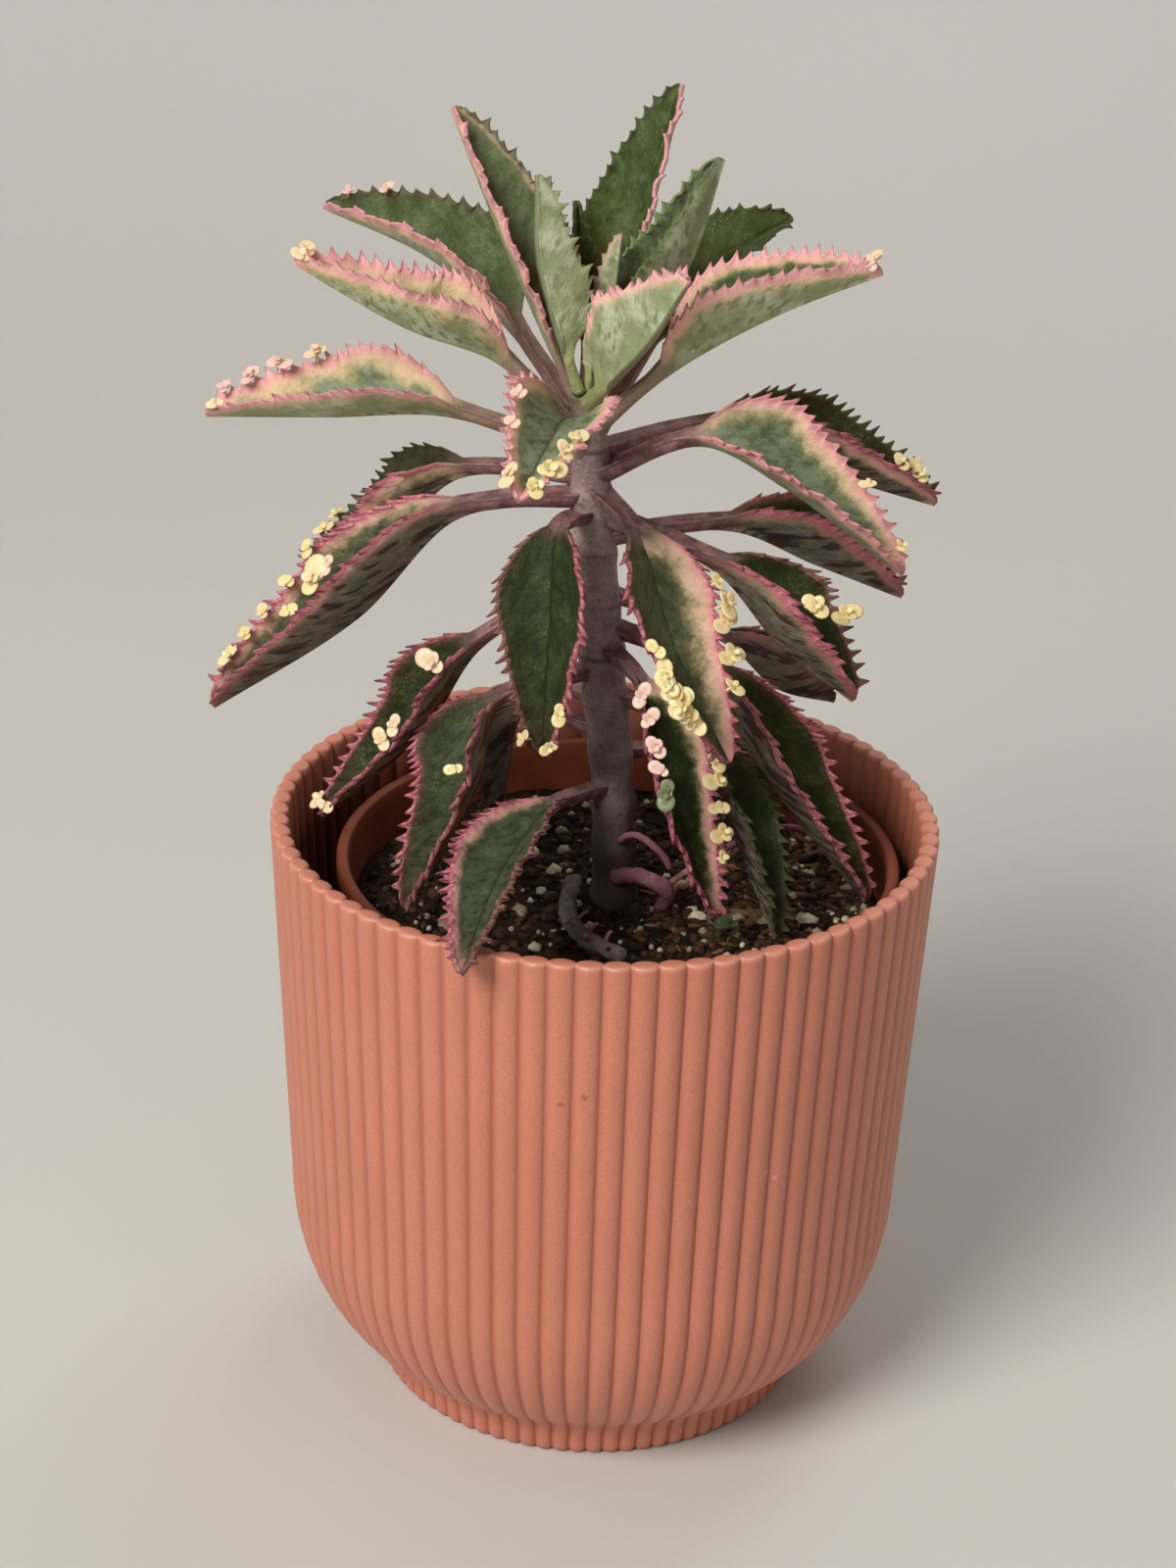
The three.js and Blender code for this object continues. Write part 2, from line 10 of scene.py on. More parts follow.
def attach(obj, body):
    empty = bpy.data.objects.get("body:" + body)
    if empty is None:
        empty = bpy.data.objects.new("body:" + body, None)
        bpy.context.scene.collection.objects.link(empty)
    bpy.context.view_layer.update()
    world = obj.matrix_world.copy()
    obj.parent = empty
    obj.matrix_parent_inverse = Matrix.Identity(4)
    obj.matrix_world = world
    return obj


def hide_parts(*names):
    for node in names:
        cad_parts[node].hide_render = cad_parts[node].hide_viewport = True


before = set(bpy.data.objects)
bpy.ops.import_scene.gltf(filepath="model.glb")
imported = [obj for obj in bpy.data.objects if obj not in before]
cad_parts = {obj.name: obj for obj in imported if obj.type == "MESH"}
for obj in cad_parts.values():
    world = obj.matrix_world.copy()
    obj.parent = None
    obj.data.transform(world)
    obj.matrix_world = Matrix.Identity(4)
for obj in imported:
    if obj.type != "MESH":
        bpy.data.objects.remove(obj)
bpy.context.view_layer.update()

MM = 0.001
SEED = 7
UP = np.array([0, 0, 1])
TINY = 1e-4

# Cover pot
POT_RIM_RADIUS = 69.4
POT_HEIGHT = 129
POT_BELT_RADIUS = 65.3
POT_BELT_HEIGHT = 46.5
POT_FOOT_RADIUS = 44.9
POT_FOOT_CURVE = [(45.6, 0.5), (46.3, 1.5), (46.6, 2.8), (46.7, 4.2)]
POT_FOOT_CURVE += [(46.9, 5.6), (47.4, 7), (48.3, 8.4)]
POT_RECESS = 0.6
POT_WALL = 4
WALL_STEPS = 12
POT_FLOOR = 5
POT_RIBS = 80
GROOVE_DEPTH = 1.05
GROOVE_TURN = 0.66
GROOVE_SHARPNESS = 0.62
RIB_SHARES = [0, 0.05, 0.12, 0.22, 0.36, 0.5, 0.64, 0.78, 0.88, 0.95]
BOWL_REACH = 30.3
BOWL_DROP = 41.1
BOWL_POWER = 2 / 2.1
RIM_ROUND = 0.85
RIM_SCALLOP = 1.2

# Nursery pot and soil
NURSERY_X = 3
NURSERY_HEIGHT = 119.5
NURSERY_RIM_RADIUS = 57.8
NURSERY_LIP = 4
NURSERY_LIP_REACH = 0.9
NURSERY_FOOT_RADIUS = 36
NURSERY_BEVEL = 4
NURSERY_WALL = 1.6
NURSERY_FLOOR = 5.3
NURSERY_SIDES = 128
SOIL_HEIGHT = 109
SOIL_RADIUS = 54.6
SOIL_FLOOR = 7.5

# Stem: centre line and radius
STEM = [
    ([2.6, 0, 92], 4.0),
    ([2.4, 0, 109], 4.7),
    ([1.3, 0, 135], 4.5),
    ([-1, 0, 157], 4.7),
    ([-3.5, 0, 179], 4.8),
    ([-5.1, 0, 200], 4.2),
    ([-6.2, 0, 213], 3.7),
    ([-7.6, 0, 221], 2.6),
]
STEM_SIDES = 40
STEM_RINGS = 150
STEM_JOINT_PITCH = 11
STEM_JOINT_SWELL = 0.05
STEM_CLEAR = 7
YOUNG_FROM = 212
YOUNG_TO = 220
# Painted shade on the stem: darkest low down, gone above this height, fading over this span.
FOOT_SHADE_TOP = 165
FOOT_SHADE_FADE = 50

# Leaves and plantlets
STALK_SHARE = 1 / 3
BLADE_FROM = 0.24
BLADE_FULL = 0.38
FULL_WIDTH = 9
MARGIN_HALF = 0.42
MARGIN_ROUND = 0.3
MARGIN_BULGE = 0.2
MIDRIB_DEPTH = 0.35
KEEL_HEIGHT = 0.9
TOOTH_PITCH = 2.45
TOOTH_HEIGHT = 2.2
TOOTH_YOUNG = [0, 0.1, 0.24, 0.42, 0.66, 1, 0.5, 0.1]
TOOTH_OLD = [0, 0.02, 0.06, 0.2, 0.65, 1, 0.25, 0.02]
TOOTH_LEAN = 0.5
TEETH_FROM = 0.06
TEETH_TO = 0.985
MARGIN_WAVE = 0.35
MARGIN_WAVE_PITCH = 9
EAR_WIDTH = 0.22
WIDEST_AT = 0.34
TIP_TAPER = 0.64
PETIOLE_RINGS = 12
PETIOLE_FLARE = 0.35
BLADE_CURL = 0.7
BLADE_SHARES = [0, 0.03, 0.08, 0.2, 0.35, 0.5, 0.65, 0.78, 0.87, 0.925, 0.96, 0.985, 1]
VEIN_ANGLE = 0.6
CREAM_USUAL = (0.1, 0.1)
PINK_USUAL = (1, 1)
BUD_USUAL = (1.6, 0, None)
BUD_PINK_USUAL = (0.15, 0.15)
BUD_LARGE = 1.9
BUD_SIZES = (0.85, 0.5, 0.35)
LIGHT_WAY = np.array([-0.3, -0.75, 0.6])

# The leaves: the curve from the stem to the tip, half the blade's and half the stalk's width, and
# more. A pair of values is for the left margin, then the right: folds in degrees, the width of the
# cream band inside the margin, how pink its teeth are, how pink its plantlets are, and the plantlets.
# Each plantlet has its share of the blade's length and, where they aren't the usual ones, its radius,
# how far it stands away and its tint: 0 cream, 1 pink, 2 green. Age goes from pale and young to dark
# and old, and on the low hanging leaves the darkest old greens are also painted shade; frost is how
# much pale bloom lies on the upper face, and ear is the share of its full width that the blade has at
# its foot.
LEAVES = [
    dict(name="crown_back", path=[[-6, 0, 212], [-2, 14, 232], [3, 21, 252], [10, 28, 275]],
         width=10.5, stalk=1.6, folds=(28, 50), widest=0.42, teeth=0.6, age=0.3, pinks=(0.15, 0.8)),
    dict(name="crown_left", path=[[-7, 0, 215], [-13, 1, 229], [-24, 4, 252], [-34, 8, 274]],
         width=11.5, stalk=1.5, folds=(26, 75), widest=0.42, teeth=0.6, age=0.18, creams=(1.4, 0.6),
         pinks=(1, 0.35), frost=0.35),
    dict(name="crown_left_inner", path=[[-8, -2, 221], [-11, -5, 231], [-16, -6, 248], [-17, -6, 265]],
         width=8, stalk=1.2, folds=(80, 76), ear=0.35, age=0, creams=(0.3, 0.8), pinks=(0.3, 1)),
    dict(name="crown_right", path=[[-7, 0, 216], [2, 4, 229], [12, 6, 246], [18, 7, 266]], width=12,
         stalk=1.5, folds=(80, 58), teeth=0.6, age=0.1, pinks=(0.2, 0.2), frost=0.5),
    dict(name="crown_front", path=[[-7, 0, 217], [-2, -10, 226], [5, -19, 237], [12, -28, 252]],
         width=13.5, stalk=1.6, folds=(70, 78), ear=0.6, age=0.05, creams=(0.9, 0.8)),
    dict(name="crown_right_back", path=[[-6, 0, 208.5], [6, 13, 227], [18, 20, 241], [33, 28, 249]],
         width=11.5, stalk=1.7, folds=(62, 18), teeth=0.6, age=0.35, pinks=(0.1, 0.1)),
    dict(name="crown_right_long", path=[[-6, 0, 212], [9, -6, 228], [29, -9, 241], [49, -11, 250]],
         width=13, stalk=1.9, folds=(62, 48), age=0.22, creams=(1.6, 2.2), pinks=(0.8, 1),
         buds=([[0.985, 1.8, -0.6, 0.6]], [[0.97, 1.4, -0.6, 0.9]])),
    dict(name="crown_left_back", path=[[-6, 0, 212], [-22, 12, 230], [-38, 17, 242], [-60, 21, 250]],
         width=13.5, stalk=1.9, folds=(36, 66), teeth=0.7, age=0.3, creams=(2.6, 0.2), pinks=(1, 0.35),
         frost=0.15, bud_pinks=(1, 1), buds=([], [[0.78, 1.2], [0.92, 1.2]])),
    dict(name="crown_left_long", path=[[-6, 0, 211], [-23, -7, 229], [-41, -10, 236], [-63, -11, 248]],
         width=12.5, stalk=1.9, folds=(48, 62), age=0.18, creams=(3, 4.4), bud_pinks=(0.6, 0.6),
         buds=([[0.985, 1.7, -0.6, 0.4]], [[0.97, 1.9, -0.6, 0.5]])),
    dict(name="crown_centre", path=[[-7, 1, 219], [-7, 7, 228], [-8, 10, 240], [-10, 13, 255]],
         width=4.5, stalk=1.1, folds=(55, 55), ear=0.35, age=0.3, pinks=(0, 0)),
    dict(name="crown_right_inner", path=[[-6, 1, 222], [-3, 0, 231], [-2, -1, 242], [-1, -2, 253]],
         width=4, stalk=1.1, folds=(65, 65), ear=0.5, age=0, creams=(0.6, 0.6), pinks=(0.5, 0.5)),
    dict(name="crown_heart", path=[[-6.8, -1, 219], [-5.8, -3, 226], [-5.3, -5, 234], [-4.6, -6, 243]],
         width=2, stalk=1, folds=(45, 45), ear=0.6, age=0, creams=(1, 1), pinks=(0.1, 0.1)),
    dict(name="middle_front", path=[[-6, 0, 206], [-10, -9, 217], [-13, -28, 219], [-18, -48, 215]],
         width=12.5, stalk=2, folds=(30, 48), ear=0.6, age=0.25, creams=(3.4, 2.2), frost=0.9,
         bud_pinks=(0.2, 0.6),
         buds=([0.66, [0.76, 2.2], [0.87, 2.4], [0.97, 2]], [0.5, 0.68, [0.94, 2]])),
    dict(name="middle_left", path=[[-6, 1, 207], [-33, -1, 216], [-57, 1, 214], [-82, 3, 212]],
         width=12.5, stalk=2, folds=(36, 60), age=0.25, creams=(0.8, 4.4), frost=0.9,
         bud_pinks=(0.8, 0.8), buds=([[0.95, 1.8]], [[0.55, 2.2], [0.7, 2.2], [0.82, 2], 0.92])),
    dict(name="middle_left_back", path=[[-5, 0, 203], [-31, 9, 200], [-45, 14, 186], [-63, 19, 174]],
         width=12, stalk=2, folds=(42, 60), age=0.65, creams=(4.6, 0.1), pinks=(1, 0.1), frost=0.15,
         buds=([], [0.78, 0.86])),
    dict(name="middle_left_front",
         path=[[-5, 0, 199], [-31, -9, 198], [-51, -14, 177], [-79, -18, 158]], width=15, stalk=2.2,
         folds=(58, 68), widest=0.45, twist=-8, age=0.75, creams=(0.8, 2.8), frost=0.35,
         bud_pinks=(0.5, 0.1), buds=([0.4, [0.5, 3], 0.64], [0.45, 0.6, 0.72, 0.8, 0.88])),
    dict(name="middle_right", path=[[-5, 0, 203], [16, -7, 214], [34, -10, 206], [57, -12, 189]],
         width=13.5, stalk=2.2, folds=(66, 20), twist=-14, age=0.45, creams=(3.6, 1), frost=0.6,
         buds=([0.72, 0.94], [])),
    dict(name="middle_right_back", path=[[-6, 0, 208], [20, 13, 210], [43, 20, 199], [66, 26, 190]],
         width=13, stalk=2, folds=(68, 42), widest=0.4, age=0.75, creams=(0.1, 2.6), pinks=(0.15, 1),
         buds=([0.86], [0.74, [0.85, 2.4]])),
    dict(name="middle_right_low", path=[[-4, 0, 190], [23, 5, 192], [41, 7, 184], [59, 9, 176]],
         width=11.5, stalk=2.1, folds=(60, 56), widest=0.4, age=0.88, creams=(0.6, 2), pinks=(0.8, 1)),
    dict(name="middle_right_front", path=[[-5, 0, 196], [21, -8, 188], [34, -12, 174], [49, -13, 162]],
         width=14, stalk=2.2, folds=(60, 50), widest=0.42, age=0.88, creams=(0.2, 3.2), pinks=(0.5, 1),
         buds=([[0.68, 2.4]], [[0.42, 2.2]])),
    dict(name="middle_right_dry", path=[[-3, 0, 179], [24, 10, 165], [35, 12, 154], [47, 14, 150]],
         width=9.5, stalk=1.8, folds=(60, 66), widest=0.42, age=1, creams=(0.3, 0.8), pinks=(0.7, 0.8),
         withered=0.97),
    dict(name="hanging_front", path=[[-5, 0, 195], [-11, -13, 196], [-12, -19, 178], [-13, -18, 150]],
         width=11, stalk=2, folds=(32, 26), widest=0.4, age=0.75, pinks=(0.7, 0.5), frost=0.05,
         buds=([0.78, 0.95], [0.94])),
    dict(name="hanging_front_right",
         path=[[-5, 0, 201], [5, -14, 195], [12, -24, 178], [24, -28, 154]], width=11, stalk=2.1,
         folds=(24, 18), ear=0.4, age=0.7, creams=(5.6, 0.3), pinks=(1, 0.7), frost=0.2,
         bud_pinks=(0.25, 0), buds=([0.3, [0.42, 2.6], [0.52, 2.4], [0.66, 2.6], 0.76],
               [[0.5, 1.6], [0.585, 2.5, 0.4], [0.62, 2.2, 1.8], [0.66, 2.8, 0.4],
                [0.7, 2.3, 1.8], [0.735, 2.4, 0.4], [0.78, 2]])),
    dict(name="hanging_right_inner",
         path=[[-2, 0, 167], [6, -13, 164], [13, -21, 143], [23, -24, 117]], width=9.5, stalk=1.9,
         folds=(42, 36), age=0.74, creams=(2.6, 0.1), pinks=(1, 0.8), bud_pinks=(0.1, 1),
         buds=([0.3, [0.4, 2.2], [0.5, 2.2], 0.6, [0.7, 2.4], 0.78],
               [[0.1, 1.8, 3.4], [0.18, 1.9, 4], [0.27, 2.1, 4], [0.35, 1.7, 4],
                [0.44, 2.2, 3.6, 1.9]])),
    dict(name="hanging_right_olive",
         path=[[-1, 0, 157], [16, -7, 151], [27, -13, 132], [36, -22, 112]], width=9, stalk=1.8,
         folds=(40, 50), widest=0.5, age=0.75, pinks=(0.1, 0.1)),
    dict(name="hanging_right", path=[[-3, 0, 172], [21, -2, 162], [33, -4, 141], [55, -7, 114]],
         width=12.5, stalk=2, folds=(70, 34), widest=0.5, age=0.9, creams=(0.4, 0.1),
         pinks=(0.8, 0.7)),
    dict(name="hanging_left", path=[[-4, 0, 182], [-27, -4, 168], [-38, -7, 150], [-58, -9, 130]],
         width=11.5, stalk=2, folds=(34, 66), age=0.85, creams=(0.1, 0.5), pinks=(0.7, 0.9),
         bud_pinks=(0.45, 0.45), buds=([[0.16, 2.4], 0.52, 0.6, 0.95], [0.96])),
    dict(name="hanging_left_front",
         path=[[-1, 0, 162], [-23, -9, 157], [-27, -17, 142], [-40, -20, 115]], width=13.5, stalk=2,
         folds=(38, 62), age=0.85, creams=(0.1, 0.6), pinks=(0.6, 0.9), frost=0.15, buds=([0.42], [])),
    dict(name="hanging_left_inner", path=[[1, 0, 147], [-18, 3, 150], [-21, 1, 138], [-22, 0, 124]],
         width=6.5, stalk=1.8, folds=(70, 60), age=1, pinks=(0.3, 0.3)),
    dict(name="low_front", path=[[1, 0, 135], [-10, -16, 138], [-20, -43, 135], [-26, -73, 129]],
         width=10.5, stalk=1.8, folds=(50, 24), widest=0.45, age=0.8, creams=(0.2, 1.7),
         pinks=(0.5, 1), frost=0.25),
    dict(name="low_back_left", path=[[-1, 0, 153], [-9, 13, 151], [-13, 22, 141], [-15, 31, 128]],
         width=8, stalk=1.7, folds=(40, 40), age=0.85, creams=(0.3, 0.3), pinks=(0.4, 0.4)),
    dict(name="low_back_right", path=[[1, 0, 143], [17, 10, 139], [30, 15, 130], [41, 19, 121]],
         width=8.5, stalk=1.7, folds=(40, 40), age=0.85, creams=(0.3, 0.6), pinks=(0.4, 0.5)),
]

# Stalks and shoots
OLD_STALK = [[2, -4, 116], [7, -6.5, 117.5], [13, -6, 114.5], [12, -2, 106]]
OLD_STALK_RADIUS = 1.7
FALLEN_STALK = [[-6, 7, 109.4], [-7, -9, 110.2], [-3, -22, 110.4], [5, -28, 109.2]]
FALLEN_STALK_RADIUS = 1.9
THIN_SHOOTS = [
    [[3, -4.6, 124.3], [4.6, -6, 126.4], [7, -7, 127], [12, -7.5, 123.2], [14, -6.5, 119]],
    [[13, -5, 114.5], [19, -4, 119], [27, -1, 123], [38, 6, 124], [44, 9, 121]],
]
SHOOT_RADIUS = 0.75
HOOKS = 6
HOOK_RADIUS = 0.42
SEEDLING_AT = np.array([24.5, -17, 112])
SEEDLING_LOBES = 5
SEEDLING_TINT = 3

# Small flaws on the pot's outside: where, how far they reach and their colour.
SMUDGE = (0.36, 0.09, 0.06)
SCUFF = (0.85, 0.6, 0.5)
POT_MARKS = [
    ((-6.5, -67.5, 97.8), 1, SMUDGE),
    ((-1.9, -67.9, 99.9), 1.1, SMUDGE),
    ((34.8, -57.1, 77.8), 0.8, SCUFF),
    ((36.5, -55.9, 76), 0.8, SCUFF),
    ((38.6, -54.3, 73.5), 0.8, SCUFF),
]

# Floor, in metres
FLOOR_SIZE = 6
FLOOR_BACK = 1.1
FLOOR_BEND = 0.5
FLOOR_STEPS = 10
WALL_HEIGHT = 2.6

# Camera, in metres, degrees and millimetres of film
CAMERA_AT = (0, -0.6537, 0.4419)
CAMERA_YAW = -0.33
CAMERA_PITCH = 25.14
CAMERA_ROLL = 1.89
CAMERA_LENS = 80.1
CAMERA_SENSOR = 36


def unit(vector):
    return vector / np.linalg.norm(vector)


def smooth(low, high, value):
    share = np.clip((value - low) / (high - low), 0, 1)
    return share * share * (3 - 2 * share)


def circle(sides):
    """The angles of points spread evenly round a circle."""
    return [2 * math.pi * side / sides for side in range(sides)]


# Meshes


def add_piece(name, points, faces, materials, replaced=None, layers=None, slots=None):
    """A mesh in millimetres as a piece of the object, with float or vector layers for its material."""
    mesh = bpy.data.meshes.new(name)
    mesh.from_pydata((np.asarray(points) * MM).tolist(), [], faces)
    for material in materials:
        mesh.materials.append(material)
    for layer, values in (layers or {}).items():
        values = np.asarray(values, dtype=np.float32)
        kind = "FLOAT_VECTOR" if values.ndim == 2 else "FLOAT"
        attribute = mesh.attributes.new(layer, kind, "POINT")
        attribute.data.foreach_set("vector" if values.ndim == 2 else "value", values.ravel())
    if slots is not None:
        mesh.polygons.foreach_set("material_index", slots)
    mesh.shade_smooth()
    mesh.update()
    piece = bpy.data.objects.new(name, mesh)
    bpy.context.scene.collection.objects.link(piece)
    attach(piece, "root")
    if replaced:
        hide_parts(replaced)
    return piece


def ring_faces(rings, count):
    """Quads between rows of rings, and a flat face over each end."""
    faces = []
    for ring in range(rings - 1):
        for column in range(count):
            a = ring * count + column
            b = ring * count + (column + 1) % count
            faces.append((a, b, b + count, a + count))
    last = (rings - 1) * count
    faces.append(tuple(range(count))[::-1])
    faces.append(tuple(range(last, last + count)))
    return faces


def join(points, faces, more, quads):
    """Adds another mesh to the points and faces so far."""
    faces += [tuple(corner + len(points) for corner in quad) for quad in quads]
    points += more


def slant(a, b, c, first, second):
    """The slope of a curve at the middle one of three points, by the gaps between them."""
    return (b - a) / first - (c - a) / (first + second) + (c - b) / second


class Line:
    """A smooth curve through a few points, the same one that the solids follow."""

    def __init__(self, points):
        self.points = [np.array(point, dtype=float) for point in points]

    def at(self, t):
        points = self.points
        place = (len(points) - 1) * min(max(t, 0), 1)
        index = min(int(place), len(points) - 2)
        share = place - index
        start, end = points[index], points[index + 1]
        before = points[index - 1] if index > 0 else 2 * start - end
        after = points[index + 2] if index + 2 < len(points) else 2 * end - start
        pairs = ((before, start), (start, end), (end, after))
        first, middle, last = (max(np.linalg.norm(b - a) ** 0.5, TINY) for a, b in pairs)
        leave = slant(before, start, end, first, middle) * middle
        reach = slant(start, end, after, middle, last) * middle
        square = -3 * start + 3 * end - 2 * leave - reach
        cube = 2 * start - 2 * end + leave + reach
        return start + leave * share + square * share**2 + cube * share**3

    def way(self, t):
        return unit(self.at(min(t + TINY, 1)) - self.at(max(t - TINY, 0)))


def tube(path, radius, sides=16, rings=40, ripple=0.0):
    """Points and faces of a round stalk along a path, a little uneven."""
    line = Line(path)
    points = []
    normal = None
    for ring in range(rings + 1):
        t = ring / rings
        way = line.way(t)
        if normal is None:
            normal = unit(np.cross(way, [0.3, 0.9, 0.2]))
        normal = unit(normal - way * normal.dot(way))
        binormal = np.cross(way, normal)
        centre = line.at(t)
        end = min(1, 4 * min(t, 1 - t) * rings / 6 + 0.55)
        for angle in circle(sides):
            out = normal * math.cos(angle) + binormal * math.sin(angle)
            lump = 1 + ripple * noise.noise(Vector(centre * 0.35 + out * 1.5))
            points.append(centre + out * radius * lump * end)
    return points, ring_faces(rings + 1, sides)


# Materials


class Nodes:
    """A material whose nodes are added and joined by short calls."""

    def __init__(self, name):
        self.material = bpy.data.materials.new(name)
        self.material.use_nodes = True
        self.tree = self.material.node_tree
        self.shader = self.tree.nodes["Principled BSDF"]

    def add(self, kind, inputs=None, **settings):
        node = self.tree.nodes.new(kind)
        for key, value in settings.items():
            setattr(node, key, value)
        for key, value in (inputs or {}).items():
            self.set(node.inputs[key], value)
        return node

    def set(self, socket, value):
        if isinstance(value, bpy.types.NodeSocket):
            self.tree.links.new(value, socket)
        elif isinstance(value, tuple) and len(value) == 3 and socket.type == "RGBA":
            socket.default_value = (*value, 1)
        else:
            socket.default_value = value

    def layer(self, name, vector=False):
        node = self.add("ShaderNodeAttribute", attribute_name=name)
        return node.outputs["Vector" if vector else "Fac"]

    def place(self):
        return self.add("ShaderNodeTexCoord").outputs["Object"]

    def noise(self, scale, detail, rough=0.55, vector=None):
        inputs = {"Scale": scale, "Detail": detail, "Roughness": rough}
        inputs["Vector"] = vector or self.place()
        return self.add("ShaderNodeTexNoise", inputs).outputs["Fac"]

    def math(self, operation, a, b):
        return self.add("ShaderNodeMath", {0: a, 1: b}, operation=operation).outputs[0]

    def plus(self, a, b):
        return self.math("ADD", a, b)

    def times(self, a, b):
        return self.math("MULTIPLY", a, b)

    def ramp(self, value, low, high, start=0.0, end=1.0):
        inputs = {"Value": value, "From Min": low, "From Max": high, "To Min": start, "To Max": end}
        node = self.add("ShaderNodeMapRange", inputs, interpolation_type="SMOOTHSTEP")
        return node.outputs["Result"]

    def mix(self, share, a, b):
        return self.add("ShaderNodeMix", {0: share, 6: a, 7: b}, data_type="RGBA").outputs[2]

    def fade(self, value, low, high, a, b, most=1.0):
        """From colour a to b, or a share most of the way there, as a value goes from low to high."""
        return self.mix(self.ramp(value, low, high, 0, most), a, b)

    def stretch(self, vector, scale):
        inputs = {"Vector": vector, "Scale": scale}
        return self.add("ShaderNodeMapping", inputs).outputs["Vector"]

    def bump(self, height, distance, strength):
        inputs = {"Height": height, "Distance": distance, "Strength": strength}
        self.set(self.shader.inputs["Normal"], self.add("ShaderNodeBump", inputs).outputs["Normal"])

    def finish(self, color, roughness, **values):
        self.set(self.shader.inputs["Base Color"], color)
        self.set(self.shader.inputs["Roughness"], roughness)
        for key, value in values.items():
            self.set(self.shader.inputs[key.replace("_", " ")], value)
        return self.material


def pot_material():
    n = Nodes("pot_plastic")
    color = n.fade(n.noise(38, 3), 0.3, 0.7, (0.6, 0.21, 0.13), (0.64, 0.23, 0.145))
    color = n.fade(n.noise(2000, 2), 0.35, 0.65, color, (0.47, 0.15, 0.09), 0.4)
    # Painted shade: the grooves between the ribs are darkened towards a deep red.
    groove = n.ramp(n.layer("groove"), 0.05, 0.85, 0.0, 0.5)
    color = n.mix(groove, color, (0.4, 0.12, 0.07))
    # Painted highlight: a paler band along the outer top edge of the rim.
    color = n.mix(n.layer("rim_highlight"), color, (0.82, 0.42, 0.31))
    # Painted shade: the inner wall is darkened from a little below the rim downwards.
    color = n.mix(n.layer("inside"), color, (0.1, 0.023, 0.013))
    for at, reach, tone in POT_MARKS:
        ends = {0: n.place(), 1: tuple(MM * value for value in at)}
        spot = n.add("ShaderNodeVectorMath", ends, operation="DISTANCE")
        blot = n.plus(spot.outputs["Value"], n.times(n.noise(900, 4), 0.0018))
        color = n.mix(n.ramp(blot, MM * reach, MM * (reach + 0.9), 0.85, 0), color, tone)
    n.bump(n.noise(2200, 3), 0.00016, 0.7)
    return n.finish(color, 0.4)


def nursery_material():
    n = Nodes("nursery_plastic")
    color = n.fade(n.noise(60, 4), 0.35, 0.7, (0.13, 0.026, 0.01), (0.2, 0.044, 0.018))
    dust = n.ramp(n.noise(420, 5), 0.58, 0.72, 0, 0.6)
    color = n.mix(dust, color, (0.07, 0.04, 0.025))
    n.bump(n.noise(900, 3), 0.0001, 0.4)
    return n.finish(color, 0.6, Specular_IOR_Level=0.25)


def soil_material():
    n = Nodes("potting_mix")
    grain = n.noise(420, 6, 0.65)
    color = n.fade(grain, 0.35, 0.7, (0.006, 0.0035, 0.002), (0.034, 0.018, 0.009))
    color = n.fade(n.noise(160, 5), 0.52, 0.68, color, (0.075, 0.038, 0.018), 0.75)
    n.bump(grain, 0.0012, 0.9)
    return n.finish(color, 0.95, Specular_IOR_Level=0.08)


def crumb_material(name, dark, light, rough=0.85):
    n = Nodes(name)
    shade = n.plus(n.noise(700, 4), n.layer("tone"))
    color = n.fade(shade, 0.5, 1.3, dark, light)
    n.bump(n.noise(1500, 4), 0.0004, 0.7)
    return n.finish(color, rough, Specular_IOR_Level=0.15)


def stem_material():
    n = Nodes("stem_skin")
    base = n.fade(n.noise(120, 5), 0.35, 0.66, (0.24, 0.145, 0.145), (0.46, 0.33, 0.3))
    base = n.fade(n.noise(1100, 3, 0.6), 0.5, 0.64, base, (0.44, 0.34, 0.34), 0.6)
    base = n.fade(n.noise(1300, 3, 0.6), 0.56, 0.7, base, (0.05, 0.03, 0.035), 0.6)
    base = n.fade(n.layer("scar"), 0.15, 0.9, base, (0.07, 0.045, 0.04), 0.8)
    top = n.fade(n.noise(300, 4), 0.42, 0.6, (0.2, 0.17, 0.1), (0.17, 0.1, 0.095))
    color = n.mix(n.layer("young"), base, top)
    # Painted shade: the stem darkens towards its foot, inside the pot and under the leaves.
    color = n.mix(n.layer("foot_shade"), color, (0.022, 0.014, 0.011))
    n.bump(n.noise(900, 5, 0.6), 0.0004, 0.7)
    return n.finish(color, 0.6)


def leaf_top(n, age, edge, cloud, mottle, fine):
    """Greens of the upper face, frosted with paler mottling."""
    young = n.fade(cloud, 0.4, 0.62, (0.034, 0.076, 0.013), (0.08, 0.14, 0.04))
    young = n.fade(mottle, 0.5, 0.7, young, (0.15, 0.215, 0.1), 0.55)
    # The old greens are partly the leaves' own darker colour and partly painted shade on the low
    # hanging leaves.
    old = n.fade(cloud, 0.4, 0.62, (0.01, 0.019, 0.002), (0.022, 0.037, 0.006))
    old = n.fade(mottle, 0.54, 0.72, old, (0.045, 0.058, 0.022), 0.4)
    dusk = n.times(n.ramp(edge, 0.4, 2.5, 0.35, 0), n.ramp(age, 0.4, 0.9))
    old = n.mix(dusk, old, (0.05, 0.036, 0.024))
    color = n.fade(age, 0.1, 0.8, young, old)
    bloom = n.times(n.layer("frost"), n.ramp(mottle, 0.34, 0.6, 0.3, 1))
    color = n.mix(bloom, color, (0.26, 0.31, 0.2))
    dust = n.times(n.ramp(fine, 0.5, 0.64, 0, 0.7), n.ramp(cloud, 0.52, 0.68))
    color = n.mix(dust, color, n.mix(age, (0.3, 0.34, 0.22), (0.16, 0.18, 0.12)))
    color = n.fade(fine, 0.4, 0.28, color, (0.008, 0.014, 0.003), 0.4)
    specks = n.mix(age, (0.25, 0.29, 0.18), (0.12, 0.14, 0.08))
    return n.fade(fine, 0.6, 0.72, color, specks, 0.35)


